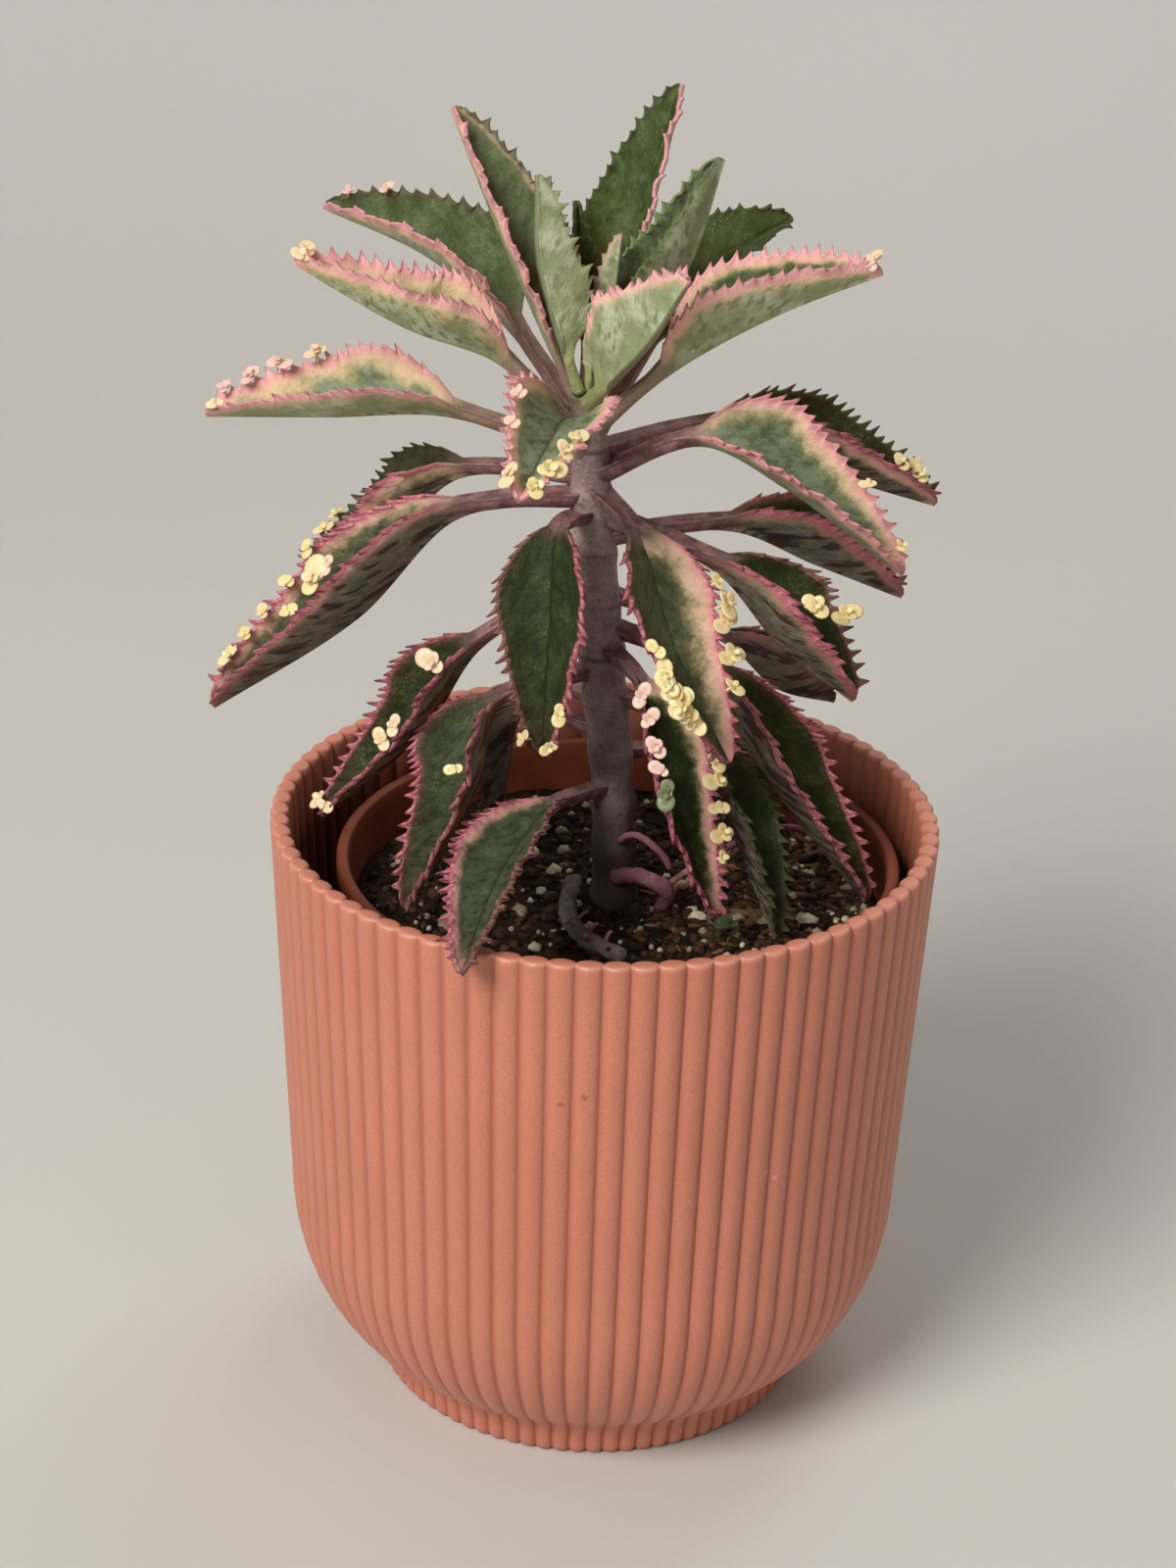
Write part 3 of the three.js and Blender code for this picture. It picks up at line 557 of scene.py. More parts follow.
def leaf_under(n, age, edge, cloud, mottle, fine, flow):
    """The lower face: pale green on a young leaf, grey with dark streaks on an old one."""
    streaks = n.noise(0.42, 2.5, 0.5, n.stretch(flow, (0.28, 1.25, 1)))
    young = n.fade(cloud, 0.4, 0.62, (0.3, 0.34, 0.17), (0.5, 0.53, 0.34))
    old = n.fade(mottle, 0.36, 0.66, (0.11, 0.1, 0.074), (0.19, 0.175, 0.13))
    old = n.mix(n.ramp(edge, 0.5, 2.5, 0.4, 0), old, (0.22, 0.085, 0.12))
    old = n.fade(streaks, 0.5, 0.58, old, (0.027, 0.02, 0.02), 0.88)
    color = n.fade(age, 0.25, 0.7, young, old)
    return n.fade(fine, 0.6, 0.72, color, (0.3, 0.28, 0.24), 0.25)


def leaf_margin(n, color, age, edge, flow, mottle, fine):
    """The cream band inside the margin, the rose beside it and the teeth."""
    wander = n.plus(n.noise(0.2, 5, 0.62, flow), -0.5)
    rough = n.plus(mottle, -0.5)
    grain = n.plus(fine, -0.5)
    dull = n.ramp(age, 0.74, 0.9)
    cream_width = n.layer("cream")
    creamy = n.ramp(cream_width, 0.2, 1.5)
    reach = n.math("DIVIDE", edge, n.plus(cream_width, 0.4))
    reach = n.plus(reach, n.times(wander, 2.4))
    reach = n.plus(reach, n.times(grain, 0.3))
    olive = n.mix(age, (0.46, 0.44, 0.18), (0.24, 0.22, 0.1))
    color = n.mix(n.times(n.ramp(reach, 0.6, 1.4, 0.6, 0), creamy), color, olive)
    cream = n.mix(age, (0.84, 0.62, 0.36), (0.8, 0.52, 0.38))
    cream = n.mix(dull, cream, (0.36, 0.18, 0.14))
    color = n.mix(n.times(n.ramp(reach, 0.2, 1.1, 1, 0), creamy), color, cream)
    blush = n.plus(edge, n.times(rough, 3.5))
    blush = n.plus(blush, n.times(wander, 3))
    rosy = n.layer("rosy")
    rose = n.mix(age, (0.9, 0.46, 0.4), (0.78, 0.34, 0.32))
    rose = n.mix(dull, rose, (0.42, 0.14, 0.155))
    rose_band = n.times(n.ramp(blush, 0.2, 2.6, 0.95, 0), n.times(creamy, rosy))
    color = n.mix(rose_band, color, rose)

    pale = n.fade(fine, 0.45, 0.62, (0.92, 0.46, 0.46), (0.85, 0.33, 0.37))
    deep = n.fade(fine, 0.42, 0.6, (0.42, 0.085, 0.14), (0.72, 0.25, 0.29))
    pink = n.fade(age, 0.2, 0.75, pale, deep)
    plain = n.fade(age, 0.02, 0.22, (0.28, 0.35, 0.15), (0.05, 0.075, 0.028))
    fringe = n.plus(edge, n.times(rough, 1.4))
    pink = n.fade(rosy, 0.25, 0.85, plain, pink)
    color = n.mix(n.ramp(fringe, -0.2, 0.6, 0.9, 0), color, pink)
    tip = n.fade(age, 0.1, 0.6, (0.7, 0.22, 0.27), (0.22, 0.045, 0.085))
    tip = n.fade(rosy, 0.1, 0.6, (0.14, 0.075, 0.055), tip)
    return n.mix(n.ramp(edge, -1.9, -0.9, 0.8, 0), color, tip)


def leaf_material():
    """Greens, cream and pink by the distance to the margin, with dark streaks on the lower face."""
    n = Nodes("leaf_flesh")
    edge = n.layer("edge")
    age = n.layer("age")
    flow = n.layer("flow", vector=True)
    cloud = n.noise(0.16, 5, 0.6, flow)
    mottle = n.noise(0.55, 5, 0.62, n.stretch(flow, (0.6, 1.1, 1)))
    fine = n.noise(2.2, 3, 0.6, flow)
    top = leaf_top(n, age, edge, cloud, mottle, fine)
    lower = leaf_under(n, age, edge, cloud, mottle, fine, flow)
    under = n.ramp(n.layer("under"), 0.4, 0.6)
    color = n.mix(under, top, lower)
    color = leaf_margin(n, color, age, edge, flow, mottle, fine)

    dashes = n.noise(0.75, 1.5, 0.5, n.stretch(flow, (0.45, 1.0, 1)))
    marked = n.times(n.ramp(dashes, 0.5, 0.66, 0, 0.7), n.ramp(edge, 0.8, 3))
    marked = n.times(marked, n.times(under, n.ramp(age, 0.3, 0.7, 1, 0)))
    marked = n.times(marked, n.ramp(cloud, 0.36, 0.56, 0.25, 1))
    color = n.mix(marked, color, (0.13, 0.16, 0.075))

    blotch = n.ramp(n.noise(0.3, 4, 0.6, flow), 0.35, 0.65)
    mauve = n.mix(blotch, (0.14, 0.066, 0.074), (0.33, 0.18, 0.175))
    mauve = n.fade(fine, 0.5, 0.7, mauve, (0.42, 0.25, 0.25), 0.4)
    pale_stalk = n.fade(cloud, 0.4, 0.6, (0.33, 0.3, 0.17), (0.34, 0.23, 0.18))
    pale_stalk = n.fade(age, 0.02, 0.16, (0.42, 0.45, 0.2), pale_stalk)
    color = n.mix(n.layer("stalk"), color, n.fade(age, 0.1, 0.4, pale_stalk, mauve))
    char = n.fade(mottle, 0.4, 0.6, (0.02, 0.013, 0.01), (0.11, 0.06, 0.035))
    color = n.mix(n.layer("burn"), color, char)

    relief = n.plus(mottle, n.times(fine, 0.35))
    relief = n.plus(relief, n.times(cloud, 1.5))
    n.bump(relief, 0.0006, 0.7)
    rough = n.ramp(fine, 0.3, 0.7, 0.4, 0.56)
    return n.finish(color, rough, Subsurface_Weight=0.05, Specular_IOR_Level=0.2)


def bud_material():
    n = Nodes("plantlet_flesh")
    tint = n.layer("tint")
    cream = n.fade(n.noise(240, 3), 0.35, 0.65, (0.88, 0.69, 0.29), (0.94, 0.8, 0.43))
    color = n.fade(tint, 0.2, 1.0, cream, (0.88, 0.58, 0.47))
    color = n.fade(tint, 1.4, 2.0, color, (0.14, 0.2, 0.07))
    color = n.fade(tint, 2.0, 3.0, color, (0.035, 0.06, 0.016))
    n.bump(n.noise(900, 3), 0.0001, 0.4)
    return n.finish(color, 0.42, Subsurface_Weight=0.12)


# Pots


def scallop(turn):
    """One in the middle of a rib and nought in its grooves."""
    return math.sin(math.pi * turn) ** GROOVE_SHARPNESS


def bowl_point(degrees, inset):
    angle = math.radians(degrees)
    reach = (BOWL_REACH - inset) * math.cos(angle) ** BOWL_POWER
    drop = (BOWL_DROP - inset) * math.sin(angle) ** BOWL_POWER
    return POT_BELT_RADIUS - BOWL_REACH + reach, POT_BELT_HEIGHT - drop


def rim_round(radius, way):
    """A quarter round from a face of the wall up to the flat of the rim."""
    rows = []
    for degrees in range(0, 91, 30):
        lean = math.radians(degrees)
        inset = RIM_ROUND * (1 - math.cos(lean))
        drop = RIM_ROUND * (1 - math.sin(lean))
        rows.append((radius - way * inset, POT_HEIGHT - drop, way * RIM_SCALLOP))
    return rows


def pot_profile():
    """Radius, height and how far the ribs show, from the underside round to the inner floor."""
    slope = (POT_RIM_RADIUS - POT_BELT_RADIUS) / (POT_HEIGHT - POT_BELT_HEIGHT)
    rise = (POT_HEIGHT - 1.5 - POT_BELT_HEIGHT) / WALL_STEPS
    steps = [rise * step for step in range(WALL_STEPS + 1)]
    wall = [(POT_BELT_RADIUS + slope * step, POT_BELT_HEIGHT + step) for step in steps]
    outer = [(12, POT_RECESS, 0), (POT_FOOT_RADIUS - 5, POT_RECESS, 0)]
    outer += [(POT_FOOT_RADIUS - 3.5, 0, 0.4), (POT_FOOT_RADIUS - 0.4, 0, 1)]
    outer += [(radius, height, 1) for radius, height in POT_FOOT_CURVE]
    outer += [(*bowl_point(degrees, 0), 1) for degrees in range(62, 0, -4)]
    outer += [(radius, height, 1) for radius, height in wall]
    rim = rim_round(POT_RIM_RADIUS, 1) + [(POT_RIM_RADIUS - POT_WALL / 2, POT_HEIGHT, 0)]
    rim += rim_round(POT_RIM_RADIUS - POT_WALL, -1)[::-1]
    inner = [(radius - POT_WALL, height, -0.8) for radius, height in wall[::-2]]
    inner += [(*bowl_point(degrees, POT_WALL), -0.4) for degrees in range(10, 75, 10)]
    inner += [(38, POT_FLOOR, -0.01), (1, POT_FLOOR, -0.01)]
    return outer + rim + inner


def build_pot(material):
    pitch = 2 * math.pi / POT_RIBS
    turns = [(rib, share) for rib in range(POT_RIBS) for share in RIB_SHARES]
    points, grooves, inside, rim_highlight = [], [], [], []
    profile = pot_profile()
    for radius, height, ribs in profile:
        below = POT_HEIGHT - height
        for rib, share in turns:
            angle = math.radians(GROOVE_TURN) + (rib + share) * pitch
            reach = radius - GROOVE_DEPTH * ribs * (1 - scallop(share))
            points.append((reach * math.cos(angle), reach * math.sin(angle), height))
            # Painted shade: how deep a point lies in a groove, which darkens it in the material.
            grooves.append(abs(ribs) * (1 - scallop(share)))
            # Painted shade on the inner wall, from a little below the rim downwards.
            inside.append(0.9 * (ribs < 0) * smooth(-2, 9, below))
            # Painted highlight along the outer top edge of the rim.
            rim_highlight.append(0.5 * smooth(1, 0.2, abs(radius - POT_RIM_RADIUS) + below))
    faces = ring_faces(len(profile), len(turns))
    layers = {"groove": grooves, "inside": inside, "rim_highlight": rim_highlight}
    piece = add_piece("cover_pot_ribbed", points, faces, [material], "cover_pot", layers)


def turned(profile, sides):
    """Points of a profile of radius and height, turned round the nursery pot's axis."""
    points = []
    for radius, height in profile:
        for angle in circle(sides):
            points.append((NURSERY_X + radius * math.cos(angle), radius * math.sin(angle), height))
    return points


def build_nursery_pot(material):
    foot, rim, bevel, wall = NURSERY_FOOT_RADIUS, NURSERY_RIM_RADIUS, NURSERY_BEVEL, NURSERY_WALL
    low, high = NURSERY_FLOOR, NURSERY_HEIGHT
    lip, lip_foot = rim + NURSERY_LIP_REACH, high - NURSERY_LIP
    inner = rim - wall
    profile = [(1, low), (foot, low), (foot + bevel, low + bevel), (rim, lip_foot - 0.5)]
    profile += [(lip - 0.3, lip_foot), (lip, lip_foot + 0.4), (lip, high - 0.5), (lip - 0.5, high)]
    profile += [(inner + 0.5, high), (inner, high - 0.5), (inner, lip_foot)]
    profile += [(foot + bevel - wall, low + bevel + wall), (foot - wall, low + wall), (1, low + wall)]
    faces = ring_faces(len(profile), NURSERY_SIDES)
    points = turned(profile, NURSERY_SIDES)
    piece = add_piece("nursery_pot_turned", points, faces, [material], "nursery_pot")


# Soil


def soil_level(x, y):
    low = noise.noise(Vector((x * 0.06, y * 0.06, 3.1)))
    high = noise.noise(Vector((x * 0.35, y * 0.35, 8.7)))
    return SOIL_HEIGHT + low + 0.7 * high


def build_soil(material):
    rings, sides = 60, 200
    foot = NURSERY_FOOT_RADIUS + 1.8
    slope = (SOIL_RADIUS - NURSERY_FOOT_RADIUS - 2) / (SOIL_HEIGHT - 11)
    walls = [(0.5, SOIL_FLOOR), (NURSERY_FOOT_RADIUS - 2.2, SOIL_FLOOR), (foot, 11.5)]
    walls.append((foot + slope * 50, 61))
    surface = [(SOIL_RADIUS * (1 - ring / rings), 0) for ring in range(rings)]
    points = turned(walls, sides)
    points += [(x, y, soil_level(x, y)) for x, y, _ in turned(surface, sides)]
    piece = add_piece("soil_mix", points, ring_faces(len(walls) + rings, sides), [material], "soil")


def icosahedron():
    """Twelve corners, and a face for every three of them that are near each other."""
    golden = (1 + 5**0.5) / 2
    near = 1.1
    corners = []
    for a, b in ((-1, golden), (1, golden), (-1, -golden), (1, -golden)):
        corners += [(a, b, 0), (0, a, b), (b, 0, a)]
    corners = [unit(np.array(corner)) for corner in corners]
    faces = []
    for i, j, k in combinations(range(len(corners)), 3):
        edges = [corners[j] - corners[i], corners[k] - corners[j], corners[k] - corners[i]]
        if max(np.linalg.norm(edge) for edge in edges) < near:
            outward = np.cross(edges[0], edges[2])
            faces.append((i, j, k) if outward.dot(corners[i]) > 0 else (i, k, j))
    return corners, faces


STONE_CORNERS, STONE_FACES = icosahedron()


def stone(centre, size, generator, flat, long, turn):
    """The points of a small lumpy stone or chip."""
    points = []
    for corner in STONE_CORNERS:
        lump = generator.uniform(0.7, 1.2)
        x, y, z = corner * size * lump * (long, 1, flat)
        across = x * math.cos(turn) - y * math.sin(turn)
        back = x * math.sin(turn) + y * math.cos(turn)
        points.append((centre[0] + across, centre[1] + back, centre[2] + z))
    return points


def scatter(name, material, count, sizes, seed, place, flat=1, long=1):
    """Many stones or chips lying half sunk in the soil, as one piece."""
    generator = random.Random(seed)
    points, faces, tones = [], [], []
    for _ in range(count):
        x, y = place(generator)
        size = generator.uniform(*sizes) * generator.uniform(0.6, 1)
        height = soil_level(x, y) + 0.25 * size * flat
        tone = generator.uniform(0, 0.6)
        turn = generator.uniform(0, math.pi)
        join(points, faces, stone((x, y, height), size, generator, flat, long, turn), STONE_FACES)
        tones += [tone] * len(STONE_CORNERS)
    piece = add_piece(name, points, faces, [material], None, {"tone": tones})


def anywhere(generator):
    """A place on the soil, clear of the stem."""
    while True:
        radius = (SOIL_RADIUS - 2.5) * math.sqrt(generator.random())
        angle = generator.uniform(0, 2 * math.pi)
        x, y = NURSERY_X + radius * math.cos(angle), radius * math.sin(angle)
        if math.hypot(x - STEM[1][0][0], y) > STEM_CLEAR:
            return x, y


def bark_side(generator):
    """A place on the right of the soil, where the bark lies."""
    while True:
        x, y = anywhere(generator)
        if x > 22 + generator.gauss(0, 8):
            return x, y


def build_litter():
    perlite = crumb_material("perlite", (0.24, 0.19, 0.12), (0.66, 0.58, 0.44))
    bark = crumb_material("bark", (0.03, 0.015, 0.008), (0.2, 0.11, 0.05))
    crumbs = crumb_material("crumbs", (0.007, 0.0035, 0.002), (0.07, 0.034, 0.016))
    scatter("soil_perlite", perlite, 220, (0.5, 1.4), 11, anywhere)
    scatter("soil_perlite_large", perlite, 60, (1.2, 2.5), 12, anywhere, 0.8, 1.3)
    scatter("soil_crumbs", crumbs, 1500, (0.5, 1.7), 13, anywhere, 0.7, 1.5)
    scatter("soil_bark_chips", bark, 240, (0.7, 1.9), 14, bark_side, 0.4, 4.0)
    scatter("soil_bark_bits", bark, 170, (0.4, 1.1), 15, anywhere, 0.5, 2.8)


# Stem and stalks


def build_stem(material):
    line = Line([point for point, _ in STEM])
    radii = [radius for _, radius in STEM]
    points, scars, young, foot_shade = [], [], [], []
    for ring in range(STEM_RINGS + 1):
        share = ring / STEM_RINGS
        centre = line.at(share)
        joint = math.cos(centre[2] * 2 * math.pi / STEM_JOINT_PITCH)
        radius = np.interp(share * (len(STEM) - 1), range(len(STEM)), radii)
        radius *= 1 + STEM_JOINT_SWELL * joint
        closing = 1 - 0.5 * max(0, (share - 0.97) / 0.03) ** 2
        level = int(centre[2] / STEM_JOINT_PITCH + 0.5)
        for angle in circle(STEM_SIDES):
            out = np.array([math.cos(angle), math.sin(angle), 0])
            facing = abs(math.cos(angle - level * math.pi / 2))
            scar = max(0, joint) ** 14 * facing**2
            lump = 0.22 * noise.noise(Vector((centre[2] * 0.3, 3 * out[0], 3 * out[1])))
            points.append(centre + (radius + lump + 0.35 * scar) * closing * out)
            scars.append(max(0, joint) ** 22 * (0.4 + 0.6 * facing))
            young.append(smooth(YOUNG_FROM, YOUNG_TO, centre[2]))
            # Painted shade, strongest towards the foot of the stem.
            foot_shade.append(0.85 * smooth(0, FOOT_SHADE_FADE, FOOT_SHADE_TOP - centre[2]))
    faces = ring_faces(STEM_RINGS + 1, STEM_SIDES)
    layers = {"scar": scars, "young": young, "foot_shade": foot_shade}
    piece = add_piece("stem_trunk", points, faces, [material], "stem", layers)


def hook_path(step):
    """A small hook on the upper side of the fallen stalk's outer half."""
    line = Line(FALLEN_STALK)
    place = 0.5 + 0.08 * step
    root = line.at(place)
    side = unit(np.cross(line.way(place), UP)) * (1 if step % 2 else -1)
    up = unit(UP + 0.8 * side)
    low, high = 0.6 * FALLEN_STALK_RADIUS, FALLEN_STALK_RADIUS + 1.2
    return [root + up * low, root + up * high, root + up * (high + 0.5) + side * 0.9]


def build_stalk(name, path, radius, extras, thin, skins):
    """A dry stalk with its shoots or hooks, which take the second skin."""
    points, faces = tube(path, radius, ripple=0.25)
    slots = [0] * len(faces)
    for extra in extras:
        more, quads = tube(extra, thin, 10, 14, 0.2)
        join(points, faces, more, quads)
        slots += [1] * len(quads)
    tones = [0.35 + 0.3 * noise.noise(Vector(point) * 0.2) for point in points]
    piece = add_piece(name + "_skin", points, faces, skins, name, {"tone": tones}, slots)


def build_stalks():
    dry = crumb_material("dry_stalk", (0.06, 0.045, 0.04), (0.2, 0.155, 0.14), 0.7)
    shoot = crumb_material("shoot_skin", (0.2, 0.07, 0.085), (0.36, 0.17, 0.18), 0.5)
    hooks = [hook_path(step) for step in range(HOOKS)]
    build_stalk("old_stalk", OLD_STALK, OLD_STALK_RADIUS, THIN_SHOOTS, SHOOT_RADIUS, [shoot, shoot])
    build_stalk("fallen_stalk", FALLEN_STALK, FALLEN_STALK_RADIUS, hooks, HOOK_RADIUS, [dry, shoot])


# Leaves


def ring_columns():
    """Side, share of the half width and face (1 upper, -1 lower, 0 edge) of each point of a ring."""
    out, back = BLADE_SHARES[1:], BLADE_SHARES[::-1]
    upper = [(1, share, 1) for share in back] + [(-1, share, 1) for share in out]
    lower = [(-1, share, -1) for share in back] + [(1, share, -1) for share in out]
    return np.array([*upper, (-1, 1, 0), *lower, (1, 1, 0)], dtype=float).T


SIDE, SHARE, FACE = ring_columns()
TOOTH_REACH = smooth(0.86, 1, SHARE)
NO_TEETH = [(0, 0)] * 3


def by_side(pair):
    """The left or the right one of a pair, for each point of a ring."""
    return np.where(SIDE > 0, *pair)


def smallness(leaf):
    """How small the teeth and bands of a narrow leaf are."""
    return min(1, leaf["width"] / FULL_WIDTH)


def path_share(along):
    """A share of the blade's length as a share of the leaf's path, which starts with the stalk."""
    return STALK_SHARE + (1 - STALK_SHARE) * along


def half_width(leaf, along):
    ear = leaf.get("ear", EAR_WIDTH)
    widest = leaf.get("widest", WIDEST_AT)
    if along < widest:
        return leaf["width"] * (ear + (1 - ear) * math.sin(math.pi / 2 * max(along, 0) / widest))
    past = (along - widest) / (1 - widest)
    return leaf["width"] * (1 - TIP_TAPER * past) * math.sqrt(1.02 - past**4)


def leaf_frame(leaf, line, t):
    foot, tip = line.points[0], line.points[-1]
    outward = unit((tip - foot) * (1, 1, 0))
    along = line.way(t)
    side = np.cross(UP, outward)
    side = unit(side - along * side.dot(along))
    return line.at(t), along, side, np.cross(along, side)


def fold_of(leaf, way, along):
    return np.radians(np.where(way > 0, *leaf["folds"]) + way * leaf.get("twist", 0) * along)


def blade_section(leaf, spot, along, teeth):
    """The ring of points round the blade at a share of its length."""
    centre, forward, side, face = spot
    start = fold_of(leaf, SIDE, along) - BLADE_CURL / 2
    angle = start + BLADE_CURL * SHARE
    height, wave, hook = (by_side(pair) for pair in teeth)
    rim = smooth(0.88, 1, SHARE)
    reach = half_width(leaf, along) + height * TOOTH_REACH + MARGIN_ROUND * (FACE == 0)
    across = reach * (np.sin(angle) - np.sin(start)) / BLADE_CURL
    high = -reach * (np.cos(angle) - np.cos(start)) / BLADE_CURL
    keel = KEEL_HEIGHT * (1 - 0.6 * along) * np.exp(-((SHARE / 0.07) ** 2))
    bulge = MARGIN_BULGE * (0.25 + 0.75 * leaf["age"]) * rim
    upper = MARGIN_HALF - MIDRIB_DEPTH * np.exp(-((SHARE / 0.035) ** 2)) + bulge
    lower = MARGIN_HALF + 0.5 * (1 - along) * (1 - SHARE) ** 1.5 + keel + bulge
    thin = 1 - 0.6 * rim * np.clip(height / TOOTH_HEIGHT, 0, 1)
    offset = np.where(FACE > 0, upper, np.where(FACE < 0, -lower, 0)) * thin
    offset += wave * SHARE**4 + hook * rim
    across = across - np.sin(angle) * offset
    high = high + np.cos(angle) * offset
    lean = (TOOTH_LEAN + 0.4 * leaf["age"]) * height * rim
    return centre + np.outer(SIDE * across, side) + np.outer(high, face) + np.outer(lean, forward)


def petiole_section(leaf, spot, share):
    """The ring of points round the stalk, flat and channelled above and round below."""
    centre, _, side, face = spot
    half = leaf["stalk"] * (1 + PETIOLE_FLARE * (1 - share) ** 3)
    across = np.where(FACE < 0, np.sin(np.pi / 2 * SHARE), SHARE)
    across = np.where(FACE == 0, 1.06, across) * half
    high = np.where(FACE > 0, 0.2 + 0.3 * SHARE**2, 0.15 - 1.1 * np.cos(np.pi / 2 * SHARE)) * half
    high = np.where(FACE == 0, 0.3 * half, high)
    return centre + np.outer(SIDE * across, side) + np.outer(high, face)


def blade_stations(leaf, line, generator):
    """Each ring's share of the blade, and its teeth: heights, waves and hooks, left and right."""
    age = leaf["age"]
    length = sum(np.linalg.norm(b - a) for a, b in zip(line.points[1:], line.points[2:]))
    teeth = round(length * (TEETH_TO - TEETH_FROM) / TOOTH_PITCH)
    small = smallness(leaf)
    parts = len(TOOTH_OLD)
    phases = [generator.uniform(0, 6), generator.uniform(0, 6)]
    sizes = [[generator.uniform(0.6, 1.25) for _ in range(teeth + 1)] for _ in phases]
    bends = [[generator.uniform(-1, 1) for _ in range(teeth + 1)] for _ in phases]
    rows = [(0, NO_TEETH), (TEETH_FROM / 2, NO_TEETH)]
    for step in range(parts * teeth):
        share = step / (parts * teeth)
        along = TEETH_FROM + share * (TEETH_TO - TEETH_FROM)
        full = TOOTH_HEIGHT * leaf.get("teeth", 1) * small * (1 - 0.3 * share)
        full *= min(1, 0.4 + 0.3 * step / parts, 60 - 60 * share)
        heights, waves, hooks = [], [], []
        for side, phase in enumerate(phases):
            tooth, part = divmod(step + side * parts // 2, parts)
            rise = TOOTH_YOUNG[part] * (1 - age) + TOOTH_OLD[part] * age
            turn = along * length * 2 * math.pi / MARGIN_WAVE_PITCH + phase
            heights.append(full * sizes[side][tooth] * rise)
            waves.append(small * MARGIN_WAVE * math.sin(turn) * smooth(0, 0.2, 1 - along))
            hooks.append(small * (0.8 + 0.3 * age + share**6) * bends[side][tooth] * rise)
        rows.append((along, [heights, waves, hooks]))
    return rows + [(along, NO_TEETH) for along in (TEETH_TO, 0.993, 1)]


def bud_disc(centre, away, normal, radius):
    """One round flat leaf of a plantlet, cupped a little: its points and faces."""
    across = np.cross(normal, away)
    rows, sides = 6, 14
    points = []
    for row in range(rows + 1):
        height = math.pi * row / rows
        for angle in circle(sides):
            x = math.sin(height) * math.cos(angle)
            y = math.sin(height) * math.sin(angle)
            z = 0.22 * math.cos(height) + 0.15 * (x * x + y * y)
            points.append(centre + radius * (1.05 * x * away + 0.95 * y * across + z * normal))
    return points, ring_faces(rows + 1, sides)


def bud_place(leaf, line, way, along):
    """Where a plantlet sits on a margin, the way out of the blade there and the way along it."""
    centre, forward, across, face = leaf_frame(leaf, line, path_share(along))
    angle = fold_of(leaf, way, along) + BLADE_CURL / 4
    out = way * across * math.cos(angle) + face * math.sin(angle)
    return centre + out * half_width(leaf, along), out, forward


def build_bud(place, radius, reach, generator):
    """One plantlet: a short stalk and pairs of round leaves that turn to the light."""
    base, out, forward = place
    axis = unit(out + LIGHT_WAY * generator.uniform(0.9, 1.6))
    head = base + unit(out + 0.5 * axis) * (reach + radius * generator.uniform(0.5, 0.9))
    points, faces = tube([base - 0.5 * out, (base + head) / 2, head], 0.3, 8, 4)
    beside = unit(forward - axis * forward.dot(axis))
    third = np.cross(axis, beside)
    turn = generator.uniform(0, math.pi)
    for pair, share in enumerate(BUD_SIZES if radius > BUD_LARGE else BUD_SIZES[:2]):
        spread = turn + pair * math.pi / 2
        arm = beside * math.cos(spread) + third * math.sin(spread)
        for sign in (1, -1):
            size = radius * share * generator.uniform(0.6, 1.15)
            middle = head + sign * arm * size * 0.85 + axis * (0.1 + 0.3 * pair * radius)
            normal = unit(axis - sign * arm * (0.1 + 0.3 * pair))
            away = unit(sign * arm - normal * (sign * arm).dot(normal))
            join(points, faces, *bud_disc(middle, away, normal, size))
    return points, faces


def build_buds(leaf, line, generator):
    """The plantlets on a leaf's margins: points, faces and tints."""
    points, faces, tints = [], [], []
    for way, buds, pink in zip((1, -1), leaf.get("buds", ()), leaf.get("bud_pinks", BUD_PINK_USUAL)):
        for bud in buds:
            along, *rest = bud if isinstance(bud, list) else [bud]
            radius, reach, tint = [*rest, *BUD_USUAL[len(rest):]]
            more, quads = build_bud(bud_place(leaf, line, way, along), radius, reach, generator)
            drawn = np.clip(pink + generator.uniform(-0.3, 0.3), 0, 1)
            tints += [tint or drawn] * len(more)
            join(points, faces, more, quads)
    return points, faces, tints


def leaf_rows(leaf, line, generator):
    """Each ring's share of the path, of the stalk and of the blade, and its teeth."""
    shares = [ring / PETIOLE_RINGS for ring in range(PETIOLE_RINGS)]
    rows = [(STALK_SHARE * share, share, 0, NO_TEETH) for share in shares]
    blade = blade_stations(leaf, line, generator)
    return rows + [(path_share(along), 1, along, teeth) for along, teeth in blade]


def ring_layers(leaf, index, length, t, along, teeth, blend):
    """What the leaf's material reads at each point of a ring."""
    half = half_width(leaf, along)
    height = by_side(teeth[0]) * TOOTH_REACH
    distance = np.minimum((1 - SHARE) * half, (1 - along) * 2.2 * leaf["width"]) - height
    reach = SHARE * half
    veins = length * math.cos(VEIN_ANGLE) + reach * math.sin(VEIN_ANGLE)
    across = reach * math.cos(VEIN_ANGLE) - length * math.sin(VEIN_ANGLE)
    withered = leaf.get("withered", 0.4 * leaf["age"])
    creams = by_side(leaf.get("creams", CREAM_USUAL))
    ring = np.ones_like(SHARE)
    return {
        "edge": distance / smallness(leaf) + 6 * (1 - blend),
        "flow": np.stack([veins, SIDE * across + 50 * SIDE, 17 * index + 40 * (FACE < 0)], -1),
        "under": 0.5 - 0.5 * FACE,
        "age": leaf["age"] * ring,
        "frost": leaf.get("frost", 0) * ring,
        "stalk": (1 - smooth(0.29, 0.4, t)) * ring,
        "cream": creams * (1.2 - 0.75 * leaf["age"] * along),
        "rosy": by_side(leaf.get("pinks", PINK_USUAL)),
        "burn": withered * smooth(0.7, 0.97, along) * ring,
    }


